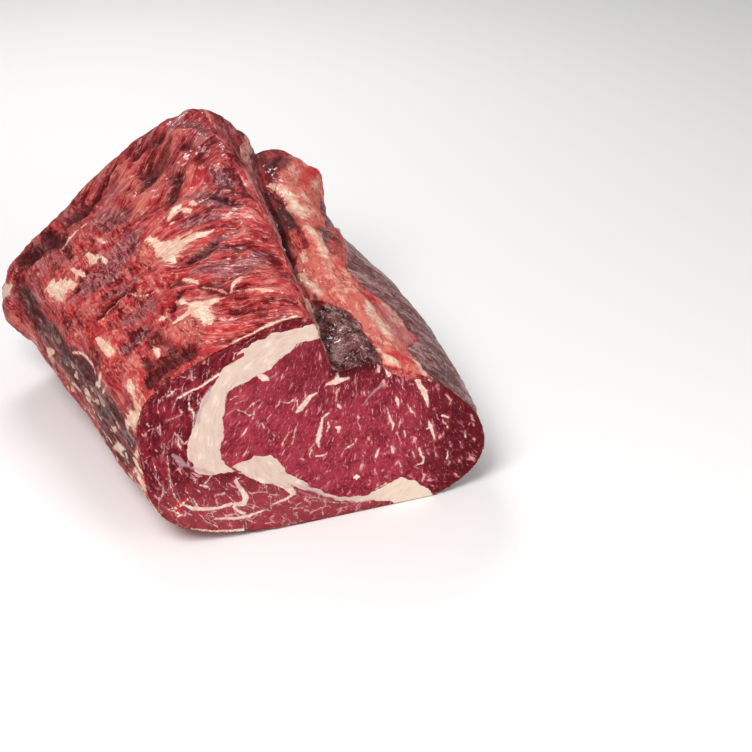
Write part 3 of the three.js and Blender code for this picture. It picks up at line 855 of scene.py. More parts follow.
def make_pieces(shape):
    """Models the skin and cuts it into the roast's four pieces."""
    skin, base, places, normals, zone = shape_skin(shape)
    trees = tree_of(places), tree_of(places[zone["cut"] < 0.5])
    finer_cut_face(skin)
    base_tree = tree_of(base)
    fat_knife = cutter("fat_layer", base_tree, base, normals, shape.ragged)
    chine_knife = cutter("chine_fat", base_tree, base, normals, shape.ragged)
    fat = cut(skin, fat_knife, "INTERSECT")
    rest = cut(skin, fat_knife, "DIFFERENCE")
    chine = cut(rest, chine_knife, "INTERSECT")
    lean = cut(rest, chine_knife, "DIFFERENCE")
    cap, eye = sorted(largest_parts(lean, 2), key=middle_x)
    if len(cap.vertices) < SMALLEST_CAP * len(eye.vertices):
        raise RuntimeError("The layer of fat doesn't part the cap from the eye")
    fat = largest_parts(fat, 1)[0]
    chine = largest_parts(chine, 1)[0]
    drop(fat_knife, chine_knife)
    for mesh, names in zip((eye, cap, fat, chine), PIECES):
        make_piece(mesh, *names, trees, zone)


# ------------------------------------------------------------------ finishes

ROUGHNESS = 0.45
SPECULAR = 0.03  # next to no sheen: the wet coat alone carries the glints
COAT_ROUGHNESS = 0.14
FRONT_EDGE = (0.1, 0.7)  # millimetres behind the cut face where its colour gives way
END_EDGE = (0.35, 0.8)


class Value:
    """A shader socket with a number, on which arithmetic adds Math nodes."""

    def __init__(self, finish, socket):
        self.finish = finish
        self.socket = socket

    def math(self, operation, *others):
        inputs = {0: self, **{k + 1: other for k, other in enumerate(others)}}
        node = self.finish.node("ShaderNodeMath", {"operation": operation}, inputs)
        return Value(self.finish, node.outputs[0])

    def __add__(self, other):
        return self.math("ADD", other)

    def __sub__(self, other):
        return self.math("SUBTRACT", other)

    def __rsub__(self, other):
        return (self * -1) + other

    def __mul__(self, other):
        return self.math("MULTIPLY", other)

    def step(self, low, high):
        """0 at low, 1 at high, and eased between."""
        settings = {"interpolation_type": "SMOOTHSTEP"}
        inputs = {"Value": self, "From Min": low, "From Max": high}
        node = self.finish.node("ShaderNodeMapRange", settings, inputs)
        return Value(self.finish, node.outputs["Result"])

    def line(self, low, high):
        """1 where a noise crosses its middle, and 0 from high away from it."""
        return 1 - (self - 0.5).math("ABSOLUTE").step(low, high)

    def larger(self, other):
        return self.math("MAXIMUM", other)


class Finish:
    """A material and the means to build its nodes."""

    def __init__(self, name):
        self.material = bpy.data.materials.new(name)
        self.material.use_nodes = True
        self.tree = self.material.node_tree
        self.tree.nodes.clear()
        self.colours = bpy.context.scene.roast_colours
        spot = self.node("ShaderNodeTexCoord", {}, {}).outputs["Object"]
        moved = self.node(
            "ShaderNodeVectorMath", {"operation": "SUBTRACT"}, {0: spot, 1: tuple(ORIGIN)}
        )
        scaled = self.node(
            "ShaderNodeVectorMath", {"operation": "SCALE"}, {0: moved.outputs[0], "Scale": 1 / MM}
        )
        self.place = scaled.outputs[0]
        split = self.node("ShaderNodeSeparateXYZ", {}, {0: self.place})
        self.x, self.y, self.z = (Value(self, split.outputs[k]) for k in range(3))

    def node(self, kind, settings, inputs):
        made = self.tree.nodes.new(kind)
        for key, value in settings.items():
            setattr(made, key, value)
        for key, value in inputs.items():
            socket = made.inputs[key]
            if isinstance(value, Value):
                value = value.socket
            if isinstance(value, bpy.types.NodeSocket):
                self.tree.links.new(value, socket)
            elif socket.type == "RGBA" and len(value) == 3:
                socket.default_value = (*value, 1)
            else:
                socket.default_value = value
        return made

    def field(self, name):
        """A number that the mesh stores at each point."""
        node = self.node("ShaderNodeAttribute", {"attribute_name": name}, {})
        return Value(self, node.outputs["Fac"])

    def vector(self, x, y, z):
        return self.node("ShaderNodeCombineXYZ", {}, {0: x, 1: y, 2: z}).outputs[0]

    def noise(self, vector, size, detail, rough=0.5, warp=0.0):
        """Noise about 0.5; size is in the vector's units."""
        inputs = {
            "Vector": vector,
            "Scale": 1 / size,
            "Detail": detail,
            "Roughness": rough,
            "Distortion": warp,
        }
        return Value(self, self.node("ShaderNodeTexNoise", {}, inputs).outputs["Fac"])

    def cells(self, vector, size):
        """Distance from the walls of a flat net of cells, in cells."""
        settings = {"feature": "DISTANCE_TO_EDGE", "voronoi_dimensions": "2D"}
        inputs = {"Vector": vector, "Scale": 1 / size}
        node = self.node("ShaderNodeTexVoronoi", settings, inputs)
        return Value(self, node.outputs["Distance"])

    def round_from(self, x, z):
        """Distance and angle of a place on the cut face, seen from (x, z)."""
        from_x, from_z = self.x - x, self.z - z
        away = (from_x * from_x + from_z * from_z).math("SQRT")
        return away, from_z.math("ARCTAN2", from_x * -1)

    def colour(self, name):
        """A colour of the settings, for a socket."""
        return tuple(linear(part) for part in getattr(self.colours, name))

    def mix(self, share, below, above, blend="MIX"):
        settings = {"data_type": "RGBA", "blend_type": blend, "clamp_factor": True}
        below = self.colour(below) if isinstance(below, str) else below
        above = self.colour(above) if isinstance(above, str) else above
        return self.node("ShaderNodeMix", settings, {0: share, 6: below, 7: above}).outputs[2]

    def vary(self, value, low, high, below, above):
        """One colour where value is under low, another where it is over high."""
        return self.mix(value.step(low, high), below, above)

    def paint(self, colour, *layers):
        """A colour with (share, colour) layers laid over it in order."""
        for share, above in layers:
            colour = self.mix(share, colour, above)
        return colour

    def blend(self, value, stops):
        """A colour that runs through (value, colour name) stops."""
        ramp = self.node("ShaderNodeValToRGB", {}, {0: value})
        points = ramp.color_ramp.elements
        while len(points) < len(stops):
            points.new(1.0)
        for point, (where, name) in zip(points, sorted(stops)):
            point.position = where
            point.color = (*self.colour(name), 1)
        return ramp.outputs["Color"]

    def close(self, colour, wet, height, depth):
        """Joins the shader to the surface. A height of 1 stands depth millimetres out."""
        bump = self.node(
            "ShaderNodeBump", {}, {"Height": height, "Distance": depth * MM, "Strength": 1.0}
        )
        shader = self.node(
            "ShaderNodeBsdfPrincipled",
            {},
            {
                "Base Color": colour,
                "Roughness": ROUGHNESS,
                "Normal": bump.outputs[0],
                "Specular IOR Level": SPECULAR,
                "Coat Weight": wet,
                "Coat Roughness": COAT_ROUGHNESS,
            },
        )
        self.node("ShaderNodeOutputMaterial", {}, {0: shader.outputs[0]})
        return self.material


def linear(part):
    """A part of a screen colour as light."""
    return part / 12.92 if part <= 0.04045 else ((part + 0.055) / 1.055) ** 2.4


def eye_face(f):
    """Colour, flecks and grain of the eye on the cut face."""
    x, z = f.x, f.z
    warp = f.noise(f.place, 9, 2) - 0.5
    curl = f.noise(f.place, 2.4, 3, 0.65) - 0.5
    slant = 0.42 - (x + 20) * 0.0082
    across = x - slant * (z - 50) + warp * 5 + curl * 2.4
    up = z + warp * 4 + curl * 1.6
    grain = f.noise(f.vector(across, 0, up * 0.45), 1.0, 4, 0.68)
    cloud = f.noise(f.place, 10, 4, 0.62)
    rim = x.step(46, 82).larger(z.step(60, 90) * x.step(-40, 36) * 0.85)
    tone = grain * 0.42 + cloud * 0.4 + f.noise(f.place, 1.6, 3, 0.7) * 0.18 - rim * 0.03
    lean = f.blend(
        tone.step(0.4, 0.66),
        ((0.0, "eye_dark"), (0.45, "eye"), (0.75, "eye"), (1.0, "eye_light")),
    )
    right = x.step(-45, 45) * 0.02 - x.step(62, 90) * 0.03
    many = f.noise(f.vector(across, 3.1, up * 0.42), 1.5, 1.6, 0.55) + right
    few = f.noise(f.vector(across, 9.7, up * 0.4), 3.2, 2, 0.5) + right
    tiny = f.noise(f.vector(across, 15.3, up * 0.6), 0.9, 1, 0.5)
    halo = many.step(0.54, 0.66).larger(few.step(0.55, 0.68))
    lean = f.paint(
        lean,
        (rim * (cloud.step(0.3, 0.6) * 0.2 + 0.8), "cap_dark"),
        (halo * 0.35, "eye_light"),
    )
    flecks = (many.step(0.63, 0.73) * 0.6).larger(few.step(0.63, 0.71) * 0.9)
    flecks = flecks.larger(tiny.step(0.62, 0.78) * 0.4)
    return lean, flecks, grain


def cap_face(f):
    """Colour, flecks and grain of the cap on the cut face, its veins running round the eye."""
    warp = f.noise(f.place, 8, 2) - 0.5
    curl = f.noise(f.place, 3, 3, 0.65) - 0.5
    away, turn = f.round_from(15, 58)
    away = away + warp * 6 + curl * 4
    turn = (turn * 75 + warp * 8) * 0.4 + curl * 3
    grain = f.noise(f.vector(away, turn, 0), 1.4, 4, 0.66)
    tone = grain * 0.5 + f.noise(f.place, 9, 4, 0.6) * 0.5
    lean = f.blend(
        tone.step(0.42, 0.7),
        ((0.0, "cap_dark"), (0.5, "cap"), (0.85, "cap"), (1.0, "eye_light")),
    )
    low = 1 - f.z.step(16, 48)
    lean = f.mix(low * 0.35, lean, "eye_light")
    gaps = f.noise(f.place, 7, 2) + low * 0.05
    thin = f.noise(f.place, 2.5, 2) * 0.16
    net = f.cells(f.vector(away, turn, 0), 5.5) + (1 - gaps.step(0.4, 0.56)) * 0.1 + thin
    lines = 1 - net.step(0.09, 0.155)
    small = f.cells(f.vector(away + 40, turn, 0), 3) + (1 - gaps.step(0.5, 0.66)) * 0.14 + thin
    small = (1 - small.step(0.1, 0.17)) * 0.6
    flecks = f.noise(f.vector(away, turn, 5), 1.3, 1.5).step(0.63, 0.75) * 0.55
    return lean, lines.larger(small).larger(flecks) * 0.85, grain


def older_end(f, face, dark="dried_dark", pale="dried"):
    """A face's colour, dried and darkened at the far end of the roast."""
    patches = f.noise(f.place, 12, 3, 0.6)
    grime = f.vary(f.noise(f.place, 2.4, 4, 0.7), 0.4, 0.65, dark, pale)
    return f.mix(f.y.step(120, 180) * (patches.step(0.36, 0.66) * 0.45 + 0.18), face, grime)


def close_face(f, lean, flecks, grain, depth):
    """Lays the cut face and its strands over the outside of a piece and closes the material."""
    body, body_wet, body_height = outside(f)
    front = 1 - f.y.step(*FRONT_EDGE)
    ragged = (f.noise(f.place, 1.7, 4, 0.7) - 0.5) * 2.2

    def stroke(name, stray, low, high):
        return (f.field(name) + ragged * stray).step(low, high)

    strand = stroke("strand", 1, -0.1, 0.35) * front
    halo = stroke("strand", 1, -1.6, 0) * f.noise(f.place, 6, 2).step(0.42, 0.6) * front
    nerve = stroke("nerve", 0.8, -0.2, 0.6) * front
    knot = stroke("knot", 1.6, -0.1, 0.4) * front
    spot = stroke("spot", 1, 0, 0.3) * front
    rim = (f.field("rim") + ragged * 0.35) * front
    pale = f.mix(f.noise(f.place, 3, 2).step(0.3, 0.6) * 0.5 + 0.2, "marbling", "cream")
    crust = f.vary(f.noise(f.place, 2.6, 2), 0.42, 0.62, "maroon", "salmon")
    soaked = f.x.step(30, 36) * (1 - f.x.step(62, 70)) * f.z.step(66, 74) * (1 - strand)
    strip = f.x.step(6, 10) * (1 - f.x.step(33, 37)) * f.z.step(78, 84)
    teeth = (f.noise(f.vector(f.x, 0, f.z * 0.3), 3, 3, 0.6) - 0.5) * 1.4
    face = f.paint(
        lean,
        (halo * 0.45, "eye_light"),
        (flecks, "marbling"),
        (rim.step(0.1, 1.0) * (f.x.step(55, 75) * 0.35 + 0.4), "maroon"),
        (strand, pale),
        (nerve * 0.7, "nerve"),
        (knot, f.vary(f.noise(f.place, 2.2, 2), 0.45, 0.6, "scarlet", "cream")),
        (spot, "cream"),
        (rim.step(0.86, 0.98) * 0.75, crust),
        (rim.step(0.55, 0.85) * soaked * 0.7, crust),
        ((rim + teeth).step(0.15, 0.5) * strip * 0.7, f.mix(flecks, "dried_dark", "film")),
    )
    cut = front.larger(f.field("end").step(*END_EDGE))
    colour = f.mix(cut, body, older_end(f, face))
    wet = cut * grain.step(0.52, 0.66) * 0.3 + (1 - cut) * body_wet
    height = cut * (grain * 0.3 + flecks * 0.2 + strand * 0.3) + (1 - cut) * body_height
    return f.close(colour, wet, height, depth)


class Outside:
    """Patterns, stroke masks and zones that the parts of the outside share."""

    def __init__(self, f):
        self.f = f
        self.ribs, self.crest, self.flank = (f.field(n) for n in ("ribs", "crest", "flank"))
        lengthwise = (f.x * -1 + (f.noise(f.place, 24, 2) - 0.5) * 50).step(50, 64)
        self.downhill = self.ribs.step(0.3, 0.7) * (1 - lengthwise)
        warp = (f.noise(f.place, 16, 2) - 0.5) * 6
        self.wave = warp * 0.5
        self.across, self.down = f.field("across") + warp, f.x + f.z * 0.3
        self.fine = self.along(0.08, 0, 1.3, 4, 0.66)
        self.streak = self.along(0.09, 40, 3.2, 3, 0.6)
        self.band = self.along(0.18, 80, 8, 3, 0.6)
        self.hair = self.along(0.05, 300, 1.1, 3, 0.66)
        self.patch = self.along(0.6, 200, 14, 3, 0.6)
        self.speckle = f.noise(f.place, 1.2, 3, 0.7)
        self.mottle = f.noise(f.place, 4.5, 4, 0.65)
        self.cloud = f.noise(f.place, 24, 2)
        edge = (self.fine - 0.5) * 1.8 + (self.streak - 0.5) * 1.4
        self.edge = edge + (self.speckle - 0.5) * 1.1 + (self.mottle - 0.5) * 2
        blotch = (self.cloud - 0.5) * 1.5
        self.veil = (f.field("veil") + self.edge * 0.8 + blotch).step(-0.5, 0.6)
        self.scarlet = (f.field("scarlet") + self.edge * 0.8).step(-0.3, 0.6)
        self.salmon = (f.field("salmon") + self.edge * 0.9).step(-0.3, 0.6)
        self.shade = (f.field("shade") + self.edge * 0.7 + blotch).step(-0.5, 0.7)
        self.chine = (f.field("chine") + self.edge * 0.2).step(0.3, 0.7)
        self.far = f.y.step(150, 205)

    def along(self, pull, shift, *grain):
        """Noise drawn out along the fibres: down the rib side, and lengthwise elsewhere."""
        f, wave = self.f, self.wave
        rib = f.noise(f.vector(self.across, self.down * pull, shift), *grain)
        rest = f.noise(f.vector(f.x + wave, f.y * pull + shift, f.z + wave), *grain)
        return rest + (rib - rest) * self.downhill


def fresh_lean(f, o):
    """Colour of the fresh lean, with its films, stains and threads, painted shade in its hollows
    and the gaps between its fibres, and a painted highlight on its raised parts.
    """
    fine, streak, band, hair = o.fine, o.streak, o.band, o.hair
    mottle, patch, ribs = o.mottle, o.patch, o.ribs
    tone = fine * 0.18 + hair * 0.12 + streak * 0.22 + band * 0.21 + mottle * 0.08 + patch * 0.19
    bright = (patch * 0.4 + band * 0.4 + mottle * 0.2).step(0.49, 0.56) * ribs
    film = (mottle * 0.5 + band * 0.3 + fine * 0.2).step(0.5, 0.6) * ribs * (1 - o.far * 0.7)
    fringe = (f.field("cream") + o.edge * 0.8).step(-1.0, 0.1)
    hairs = hair.step(0.55, 0.68) * (mottle * 0.5 + patch * 0.5).step(0.42, 0.56) * ribs
    dark_hairs = (1 - hair).step(0.54, 0.66) * (1 - patch).step(0.42, 0.56) * ribs
    net = f.noise(f.place, 3.2, 2, 0.6, 0.6).line(0.01, 0.035)
    net = net * (o.veil * 0.6 + 0.35) * mottle.step(0.42, 0.6)
    thread = o.along(0.18, 120, 3.4, 2, 0.5).line(0.004, 0.02) * mottle.step(0.46, 0.58)
    # Painted shade in the thin gaps between the bundles of fibres.
    gap_shade = o.along(0.22, 160, 5.2, 3, 0.55).line(0.006, 0.03) * o.cloud.step(0.4, 0.55)
    # Raised parts of the relief blend a little paler: a painted highlight.
    lean = f.blend(
        (tone + o.crest * 0.04).step(0.4, 0.58),
        ((0.0, "maroon"), (0.22, "maroon"), (0.45, "crimson"), (0.72, "crimson"), (1.0, "film")),
    )
    return f.paint(
        lean,
        (bright * 0.65, "scarlet"),
        (film * 0.35, "film"),
        (dark_hairs * 0.5, "maroon"),
        (o.far * patch.step(0.38, 0.6) * 0.6, f.vary(streak, 0.42, 0.66, "maroon", "veil")),
        (o.veil * 0.75, f.vary(fine, 0.42, 0.6, "maroon", "veil")),
        (o.scarlet * 0.8, f.vary(fine, 0.38, 0.58, "maroon", "scarlet")),
        (o.salmon * 0.8, f.vary(fine, 0.38, 0.54, "crimson", "salmon")),
        (fringe * 0.5, "salmon"),
        # Dark hollows: partly the lean's own dark colour, partly painted shade.
        (o.shade * 0.75, f.vary(fine, 0.4, 0.58, "dried_dark", "maroon")),
        (net * 0.8, "film"),
        (thread * (1 - o.shade) * 0.6, "peach"),
        (hairs * (1 - o.shade * 0.6) * 0.55, "peach"),
        # Painted shade in the gaps between the fibres.
        (gap_shade * 0.5, "dried_dark"),
    )


def chine_side(f, o):
    """Colour of the fat and scraps of lean on the chine side, with a painted highlight on its lobes
    and painted shade between them.
    """
    mottle = o.mottle
    soft = f.noise(f.place, 15, 3, 0.5)
    # Raised lobes blend a little paler: a painted highlight.
    lobe = o.band * 0.3 + soft * 0.4 + mottle * 0.2 + o.speckle * 0.1 + o.crest * 0.05
    veins = o.along(0.5, 60, 7, 3, 0.6).line(0.004, 0.035)
    cream = (f.field("cream") + o.edge * 0.5).step(-0.4, 0.8)
    fat = f.blend(
        lobe.step(0.38, 0.62),
        ((0.0, "crimson"), (0.3, "salmon"), (0.7, "salmon"), (1.0, "peach")),
    )
    return f.paint(
        fat,
        (veins * 0.7, "crimson"),
        (o.scarlet * 0.85, f.vary(o.streak, 0.4, 0.6, "crimson", "scarlet")),
        (o.veil * 0.5, "veil"),
        # Dark hollows: partly their own darker colour, partly painted shade.
        (o.shade * 0.8, "maroon"),
        # Painted shade: the low parts of the relief between the lobes turn darker red.
        ((0 - o.crest).step(-0.1, 0.5) * 0.65, f.vary(mottle, 0.4, 0.6, "maroon", "crimson")),
        (cream * 0.8, f.vary(mottle, 0.42, 0.6, "peach", "cream")),
    )


def dry_skin(f, o):
    """Colour of the dried skin, where it lies, and its lines and folds, with a painted silver sheen
    on its folds and raised parts.
    """
    mottle, speckle, cloud, crest, flank = o.mottle, o.speckle, o.cloud, o.crest, o.flank
    side, crust, shade = f.field("side"), f.field("crust"), f.field("shade")
    sway = (f.noise(f.place, 40, 2) - 0.5) * 14
    slanted = f.y * 0.55 + f.x * 0.5 + f.z * 0.6 + sway
    slanted = f.vector(slanted, (f.x - f.y + f.z * 0.2) * 0.16, sway * 0.3)
    lines = f.noise(slanted, 2, 5, 0.74) * 0.36 + f.noise(slanted, 9, 3, 0.6) * 0.18
    lines = lines + mottle * 0.36 + speckle * 0.1
    lines = lines * side + (o.fine * 0.5 + mottle * 0.5) * (1 - side)
    where = (flank * 0.6).larger(f.field("slope") * 0.7).larger(f.field("end") * 0.6)
    where = where * (shade.larger(0) * 0.6 + 0.62)
    where = where.larger(side).larger(crust) * (1 - o.scarlet * 0.9) * (1 - o.salmon * 0.5)
    where = (where + (mottle - 0.5) * 0.6).step(0.25, 0.75)
    curl = f.noise(f.place, 6, 3, 0.6) - 0.5
    folds = f.vector(f.x + curl * 9, f.y * 0.45 + curl * 5, f.z)
    folds = f.noise(folds, 4, 2, 0.55).line(0.01, 0.07)
    # Raised parts of the relief are made paler, towards silver: a painted highlight.
    tone = lines * 0.62 + speckle * 0.2 + cloud * 0.18 + crest * (crust * 0.05 + 0.05)
    tone = tone + side * ((lines - 0.5) * 0.4 + 0.03)
    crusty = f.noise(f.place, 9, 2, 0.5) * 0.35 + mottle * 0.2 + speckle * 0.35
    # Pale lines along the folds of the crust: partly pale dry membrane, partly a painted sheen.
    crusty = crusty + folds * speckle.step(0.42, 0.56) * 0.18
    # On the crust too, the raised parts are painted paler as a highlight.
    tone = tone + crust * (crusty - tone + crest * 0.03 + 0.045)
    tone = tone - side * (o.patch.step(0.52, 0.62) * 0.07) - flank * (shade + 1).larger(0) * 0.06
    threads = f.vary(o.fine * 0.5 + o.streak * 0.5, 0.42, 0.62, "maroon", "film")
    threads = f.mix((1 - o.band).step(0.44, 0.6) * 0.85, threads, "dried_dark")
    # Its palest end, silver, is partly pale membrane and partly painted sheen.
    skin = f.blend(
        tone.step(0.37, 0.62),
        ((0.0, "dried_dark"), (0.42, "dried"), (0.66, "dried"), (1.0, "silver")),
    )
    skin = f.paint(
        skin,
        (side * (mottle * 0.4 + cloud * 0.6).step(0.5, 0.62) * 0.2, "maroon"),
        (flank * 0.75, threads),
    )
    old = f.vary(o.hair * 0.5 + lines * 0.5, 0.44, 0.64, "dried_dark", threads)
    height = lines * where * 0.3 + crust * (folds * 0.9 + speckle * 0.5 - o.streak * 0.4)
    return skin, old, where, height, crust


def outside(f):
    """Colour, wetness and height of the roast's outside, with painted shade in its groove and in
    the hollows of its relief.
    """
    o = Outside(f)
    mottle, hair, shade, flank, crest = o.mottle, o.hair, o.shade, o.flank, o.crest
    skin, old, dry, dry_height, crust = dry_skin(f, o)
    # The groove's colour: darker lean, and painted shade that is deepest in its dark hollows.
    deep = f.mix(shade, f.vary(o.streak, 0.42, 0.6, "maroon", "crimson"), "dried_dark")
    dark = flank * (f.field("shade") + o.edge * 0.6).step(-0.35, 0.2)
    lean = 1 - o.chine
    colour = f.paint(
        fresh_lean(f, o),
        (o.chine, chine_side(f, o)),
        # The groove between the ridge and the chine side is painted darker: its own darker lean and
        # painted shade.
        (f.field("groove") * (1 - o.scarlet) * (1 - o.salmon) * 0.8, deep),
        (dry * lean * 0.92, skin),
        (dark * 0.58, old),
    )
    cream = (f.field("cream") + o.edge + (hair - 0.5) * 1.6).step(-0.1, 0.4) * lean
    lumps = f.noise(f.vector(f.x, f.y * 0.4, f.z), 6, 3, 0.55).step(0.565, 0.6)
    lumps = lumps * flank * (1 - f.z.step(56, 72)) * (1 - f.y.step(110, 170))
    cream = cream.larger(lumps * 0.9)
    # Painted shade: the low parts of the relief.
    crease_shade = (0 - crest).step(0.2, 1.3) * lean
    # Cream scraps lying in hollows and dark patches turn salmon, as painted shade.
    fat_in_shade = crease_shade.larger(shade * (1 - flank)) * 0.8
    fat = f.vary(mottle * 0.5 + hair * 0.5, 0.44, 0.56, "cream", "peach")
    colour = f.mix(cream * 0.92, colour, f.mix(fat_in_shade, fat, "salmon"))
    # Painted shade darkens the hollows of the relief.
    colour = f.mix(crease_shade * (1 - cream) * 0.45, colour, "dried_dark", "MULTIPLY")
    glint = o.along(0.5, 400, 1.7, 3, 0.6) * 0.6 + o.patch * 0.4
    wet = glint.step(0.5, 0.62) * (crest * 0.15 + 0.5 + crust * 0.4 + o.far * 0.2)
    height = o.fine * 0.3 + hair * 0.15 + o.streak * 0.6 + glint * 0.9
    height = height + mottle * 0.6 + o.speckle * 0.15 + dry_height
    return colour, wet, height


def eye_finish():
    f = Finish("Eye_lean")
    return close_face(f, *eye_face(f), 1.6)


def cap_finish():
    f = Finish("Cap_lean")
    return close_face(f, *cap_face(f), 1.8)


def fat_finish():
    f = Finish("White_fat")
    warp = f.noise(f.place, 9, 2) - 0.5
    away, turn = f.round_from(5, 62)
    away = away + warp * 5
    ridges = f.noise(f.vector(away, turn * 14, f.y * 0.05), 2.2, 3, 0.55)
    cloud = f.noise(f.place, 7, 3)
    tone = ridges * 0.5 + cloud * 0.5
    pink = f.noise(f.place, 2.4, 3, 0.6).step(0.62, 0.72)
    ragged = (f.noise(f.place, 1.7, 4, 0.7) - 0.5) * 1.6
    face = f.paint(
        f.vary(tone, 0.3, 0.5, "fat_shade", "fat"),
        ((f.x.step(20, 45) * 0.5).larger(tone.step(0.52, 0.66) * 0.6), "cream"),
        ((f.field("nerve") + ragged).step(-0.4, 0.6) * 0.6, "nerve"),
        ((f.field("cleft") + ragged).step(-0.2, 0.3), "cap"),
        (pink * 0.3, "film"),
    )
    face = older_end(f, face, "film", "fat_shade")
    cut = (1 - f.y.step(*FRONT_EDGE)).larger(f.field("end").step(*END_EDGE))
    body, wet, height = outside(f)
    streak = f.noise(f.vector(f.x + warp * 3, f.y * 0.16, f.z), 2.4, 4, 0.62)
    skin = f.vary(streak, 0.4, 0.6, "film", "peach")
    body = f.mix((streak * 0.5 + cloud * 0.5).step(0.38, 0.6) * 0.75, body, skin)
    wet = (1 - cut) * wet + cut * tone.step(0.5, 0.6) * 0.3
    height = (1 - cut) * height + cut * (ridges * 0.6 + cloud * 0.2)
    return f.close(f.mix(cut, body, face), wet, height, 1.2)


def chine_finish():
    f = Finish("Chine_fat")
    return f.close(*outside(f), 1.5)


# ------------------------------------------------------------------ stage

VIEW_AZIMUTH, VIEW_ELEVATION = -22.0, 28.0  # degrees
VIEW_DISTANCE = 1.0
VIEW_TARGET = (58.0, 60.0, 47.12)  # millimetres
LENS, SENSOR = 85.0, 36.0
NEAREST, FARTHEST = 0.05, 50.0
FLOOR_HALF_SIDE, FLOOR_ROUGHNESS = 4.0, 0.9
LIT_SPOT = Vector((0, 0, 0.06))

# Each light's name, its azimuth and elevation in degrees, its distance and its width and height.
LIGHTS = (
    ("Key", -40, 46, 1.1, (0.42, 0.42)),
    ("Fill", 25, 22, 1.2, (0.8, 0.5)),
    ("Back", 176, 42, 1.1, (0.4, 0.25)),
)


def backwards(azimuth, elevation):
    """The direction from what is looked at to the camera."""
    a, e = math.radians(azimuth), math.radians(elevation)
    return Vector((math.sin(a) * math.cos(e), -math.cos(a) * math.cos(e), math.sin(e)))


def aim(thing, target, azimuth, elevation, distance):
    """Sets an object down at a distance from the target, looking at it."""
    towards = backwards(azimuth, elevation)
    thing.location = target + towards * distance
    thing.rotation_mode = "QUATERNION"
    thing.rotation_quaternion = towards.to_track_quat("Z", "Y")
    bpy.context.scene.collection.objects.link(thing)


def area_light(strength, name, azimuth, elevation, distance, size):
    light = bpy.data.lights.new(name, "AREA")
    light.shape = "RECTANGLE"
    light.size, light.size_y = size
    light.energy = strength
    aim(bpy.data.objects.new(name, light), LIT_SPOT, azimuth, elevation, distance)


def make_stage(stage):
    """Makes the floor, the light from all round, the lights and the camera."""
    scene = bpy.context.scene
    scene.view_settings.view_transform = "Standard"
    ground = bmesh.new()
    bmesh.ops.create_grid(ground, x_segments=1, y_segments=1, size=FLOOR_HALF_SIDE)
    floor = as_object(ground, "Floor")
    finish = bpy.data.materials.new("Floor")
    finish.use_nodes = True
    shader = finish.node_tree.nodes["Principled BSDF"]
    shader.inputs["Base Color"].default_value = (*map(linear, stage.floor), 1)
    shader.inputs["Roughness"].default_value = FLOOR_ROUGHNESS
    floor.data.materials.append(finish)
    world = bpy.data.worlds.new("Studio")
    world.use_nodes = True
    sky = world.node_tree.nodes["Background"]
    sky.inputs["Color"].default_value = (1, 1, 1, 1)
    sky.inputs["Strength"].default_value = stage.sky
    scene.world = world
    for light in LIGHTS:
        area_light(getattr(stage, light[0].lower()), *light)
    camera = bpy.data.cameras.new("Camera")
    camera.lens, camera.sensor_width = LENS, SENSOR
    camera.clip_start, camera.clip_end = NEAREST, FARTHEST
    eye = bpy.data.objects.new("Camera", camera)
    target = Vector(ORIGIN) + Vector(VIEW_TARGET) * MM
    aim(eye, target, VIEW_AZIMUTH, VIEW_ELEVATION, VIEW_DISTANCE)
    scene.camera = eye


# ------------------------------------------------------------------ operators


class ROAST_OT_pieces(bpy.types.Operator):
    """Model the outside of the roast and cut it into its four pieces"""

    bl_idname = "roast.pieces"
    bl_label = "Model the pieces"

    def execute(self, context):
        make_pieces(context.scene.roast_shape)
        return {"FINISHED"}


def dress(name, finish):
    """Gives a piece its material."""
    piece = bpy.data.objects[name]
    piece.data.materials.clear()
    piece.data.materials.append(finish)


class ROAST_OT_eye(bpy.types.Operator):
    """Give the eye its marbled face and its dry outside"""

    bl_idname = "roast.eye"
    bl_label = "Finish the eye"

    def execute(self, context):
        dress("Eye", eye_finish())
        return {"FINISHED"}


class ROAST_OT_cap(bpy.types.Operator):
    """Give the cap its veined face and its fibrous rib side"""

    bl_idname = "roast.cap"
    bl_label = "Finish the cap"

    def execute(self, context):
        dress("Cap", cap_finish())
        return {"FINISHED"}


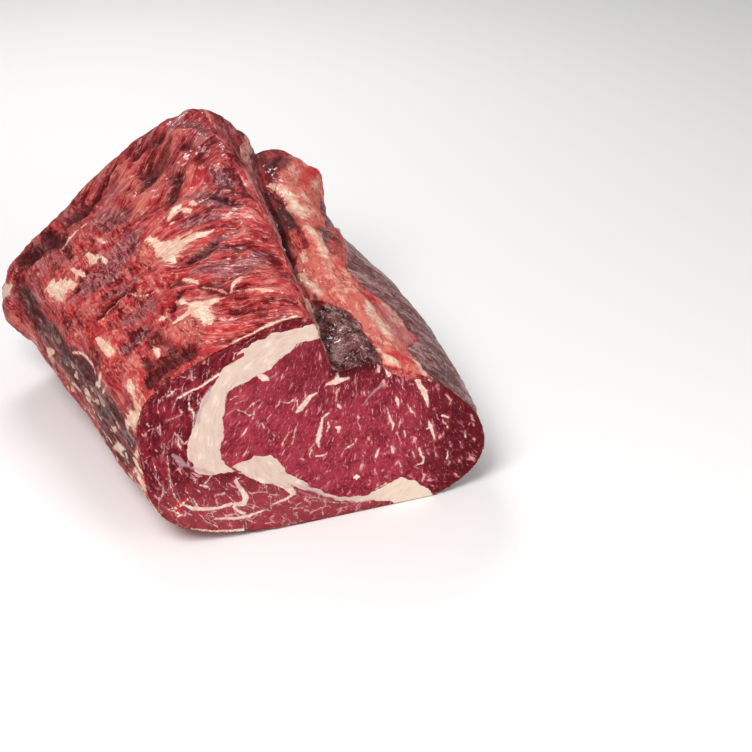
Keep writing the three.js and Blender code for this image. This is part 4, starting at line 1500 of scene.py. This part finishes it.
class ROAST_OT_fat_layer(bpy.types.Operator):
    """Give the layer of fat its creamy finish"""

    bl_idname = "roast.fat_layer"
    bl_label = "Finish the layer of fat"

    def execute(self, context):
        dress("Fat_layer", fat_finish())
        return {"FINISHED"}


class ROAST_OT_chine_fat(bpy.types.Operator):
    """Give the chine fat its salmon finish with scraps of lean"""

    bl_idname = "roast.chine_fat"
    bl_label = "Finish the chine fat"

    def execute(self, context):
        dress("Chine_fat", chine_finish())
        return {"FINISHED"}


class ROAST_OT_stage(bpy.types.Operator):
    """Set up the floor, the lights and the camera"""

    bl_idname = "roast.stage"
    bl_label = "Set the stage"

    def execute(self, context):
        make_stage(context.scene.roast_stage)
        return {"FINISHED"}


SETTINGS = {
    "roast_shape": RoastShape,
    "roast_colours": RoastColours,
    "roast_stage": RoastStage,
}
OPERATORS = (
    ROAST_OT_pieces,
    ROAST_OT_eye,
    ROAST_OT_cap,
    ROAST_OT_fat_layer,
    ROAST_OT_chine_fat,
    ROAST_OT_stage,
)


class ROAST_PT_panel(bpy.types.Panel):
    """The roast's settings and steps"""

    bl_idname = "ROAST_PT_panel"
    bl_label = "Beef Rib Roast"
    bl_space_type = "VIEW_3D"
    bl_region_type = "UI"
    bl_category = "Roast"

    def draw(self, context):
        for group in SETTINGS:
            settings = getattr(context.scene, group)
            column = self.layout.column()
            for name in settings.bl_rna.properties.keys():
                if name not in ("rna_type", "name"):
                    column.prop(settings, name)
        for operator in OPERATORS:
            self.layout.operator(operator.bl_idname)


CLASSES = (*SETTINGS.values(), *OPERATORS, ROAST_PT_panel)


def register():
    for item in CLASSES:
        bpy.utils.register_class(item)
    for name, group in SETTINGS.items():
        setattr(bpy.types.Scene, name, PointerProperty(type=group))


def unregister():
    for name in SETTINGS:
        delattr(bpy.types.Scene, name)
    for item in reversed(CLASSES):
        bpy.utils.unregister_class(item)


def main():
    register()
    for step in ("pieces", "eye", "cap", "fat_layer", "chine_fat", "stage"):
        getattr(bpy.ops.roast, step)()


if __name__ == "__main__":
    main()
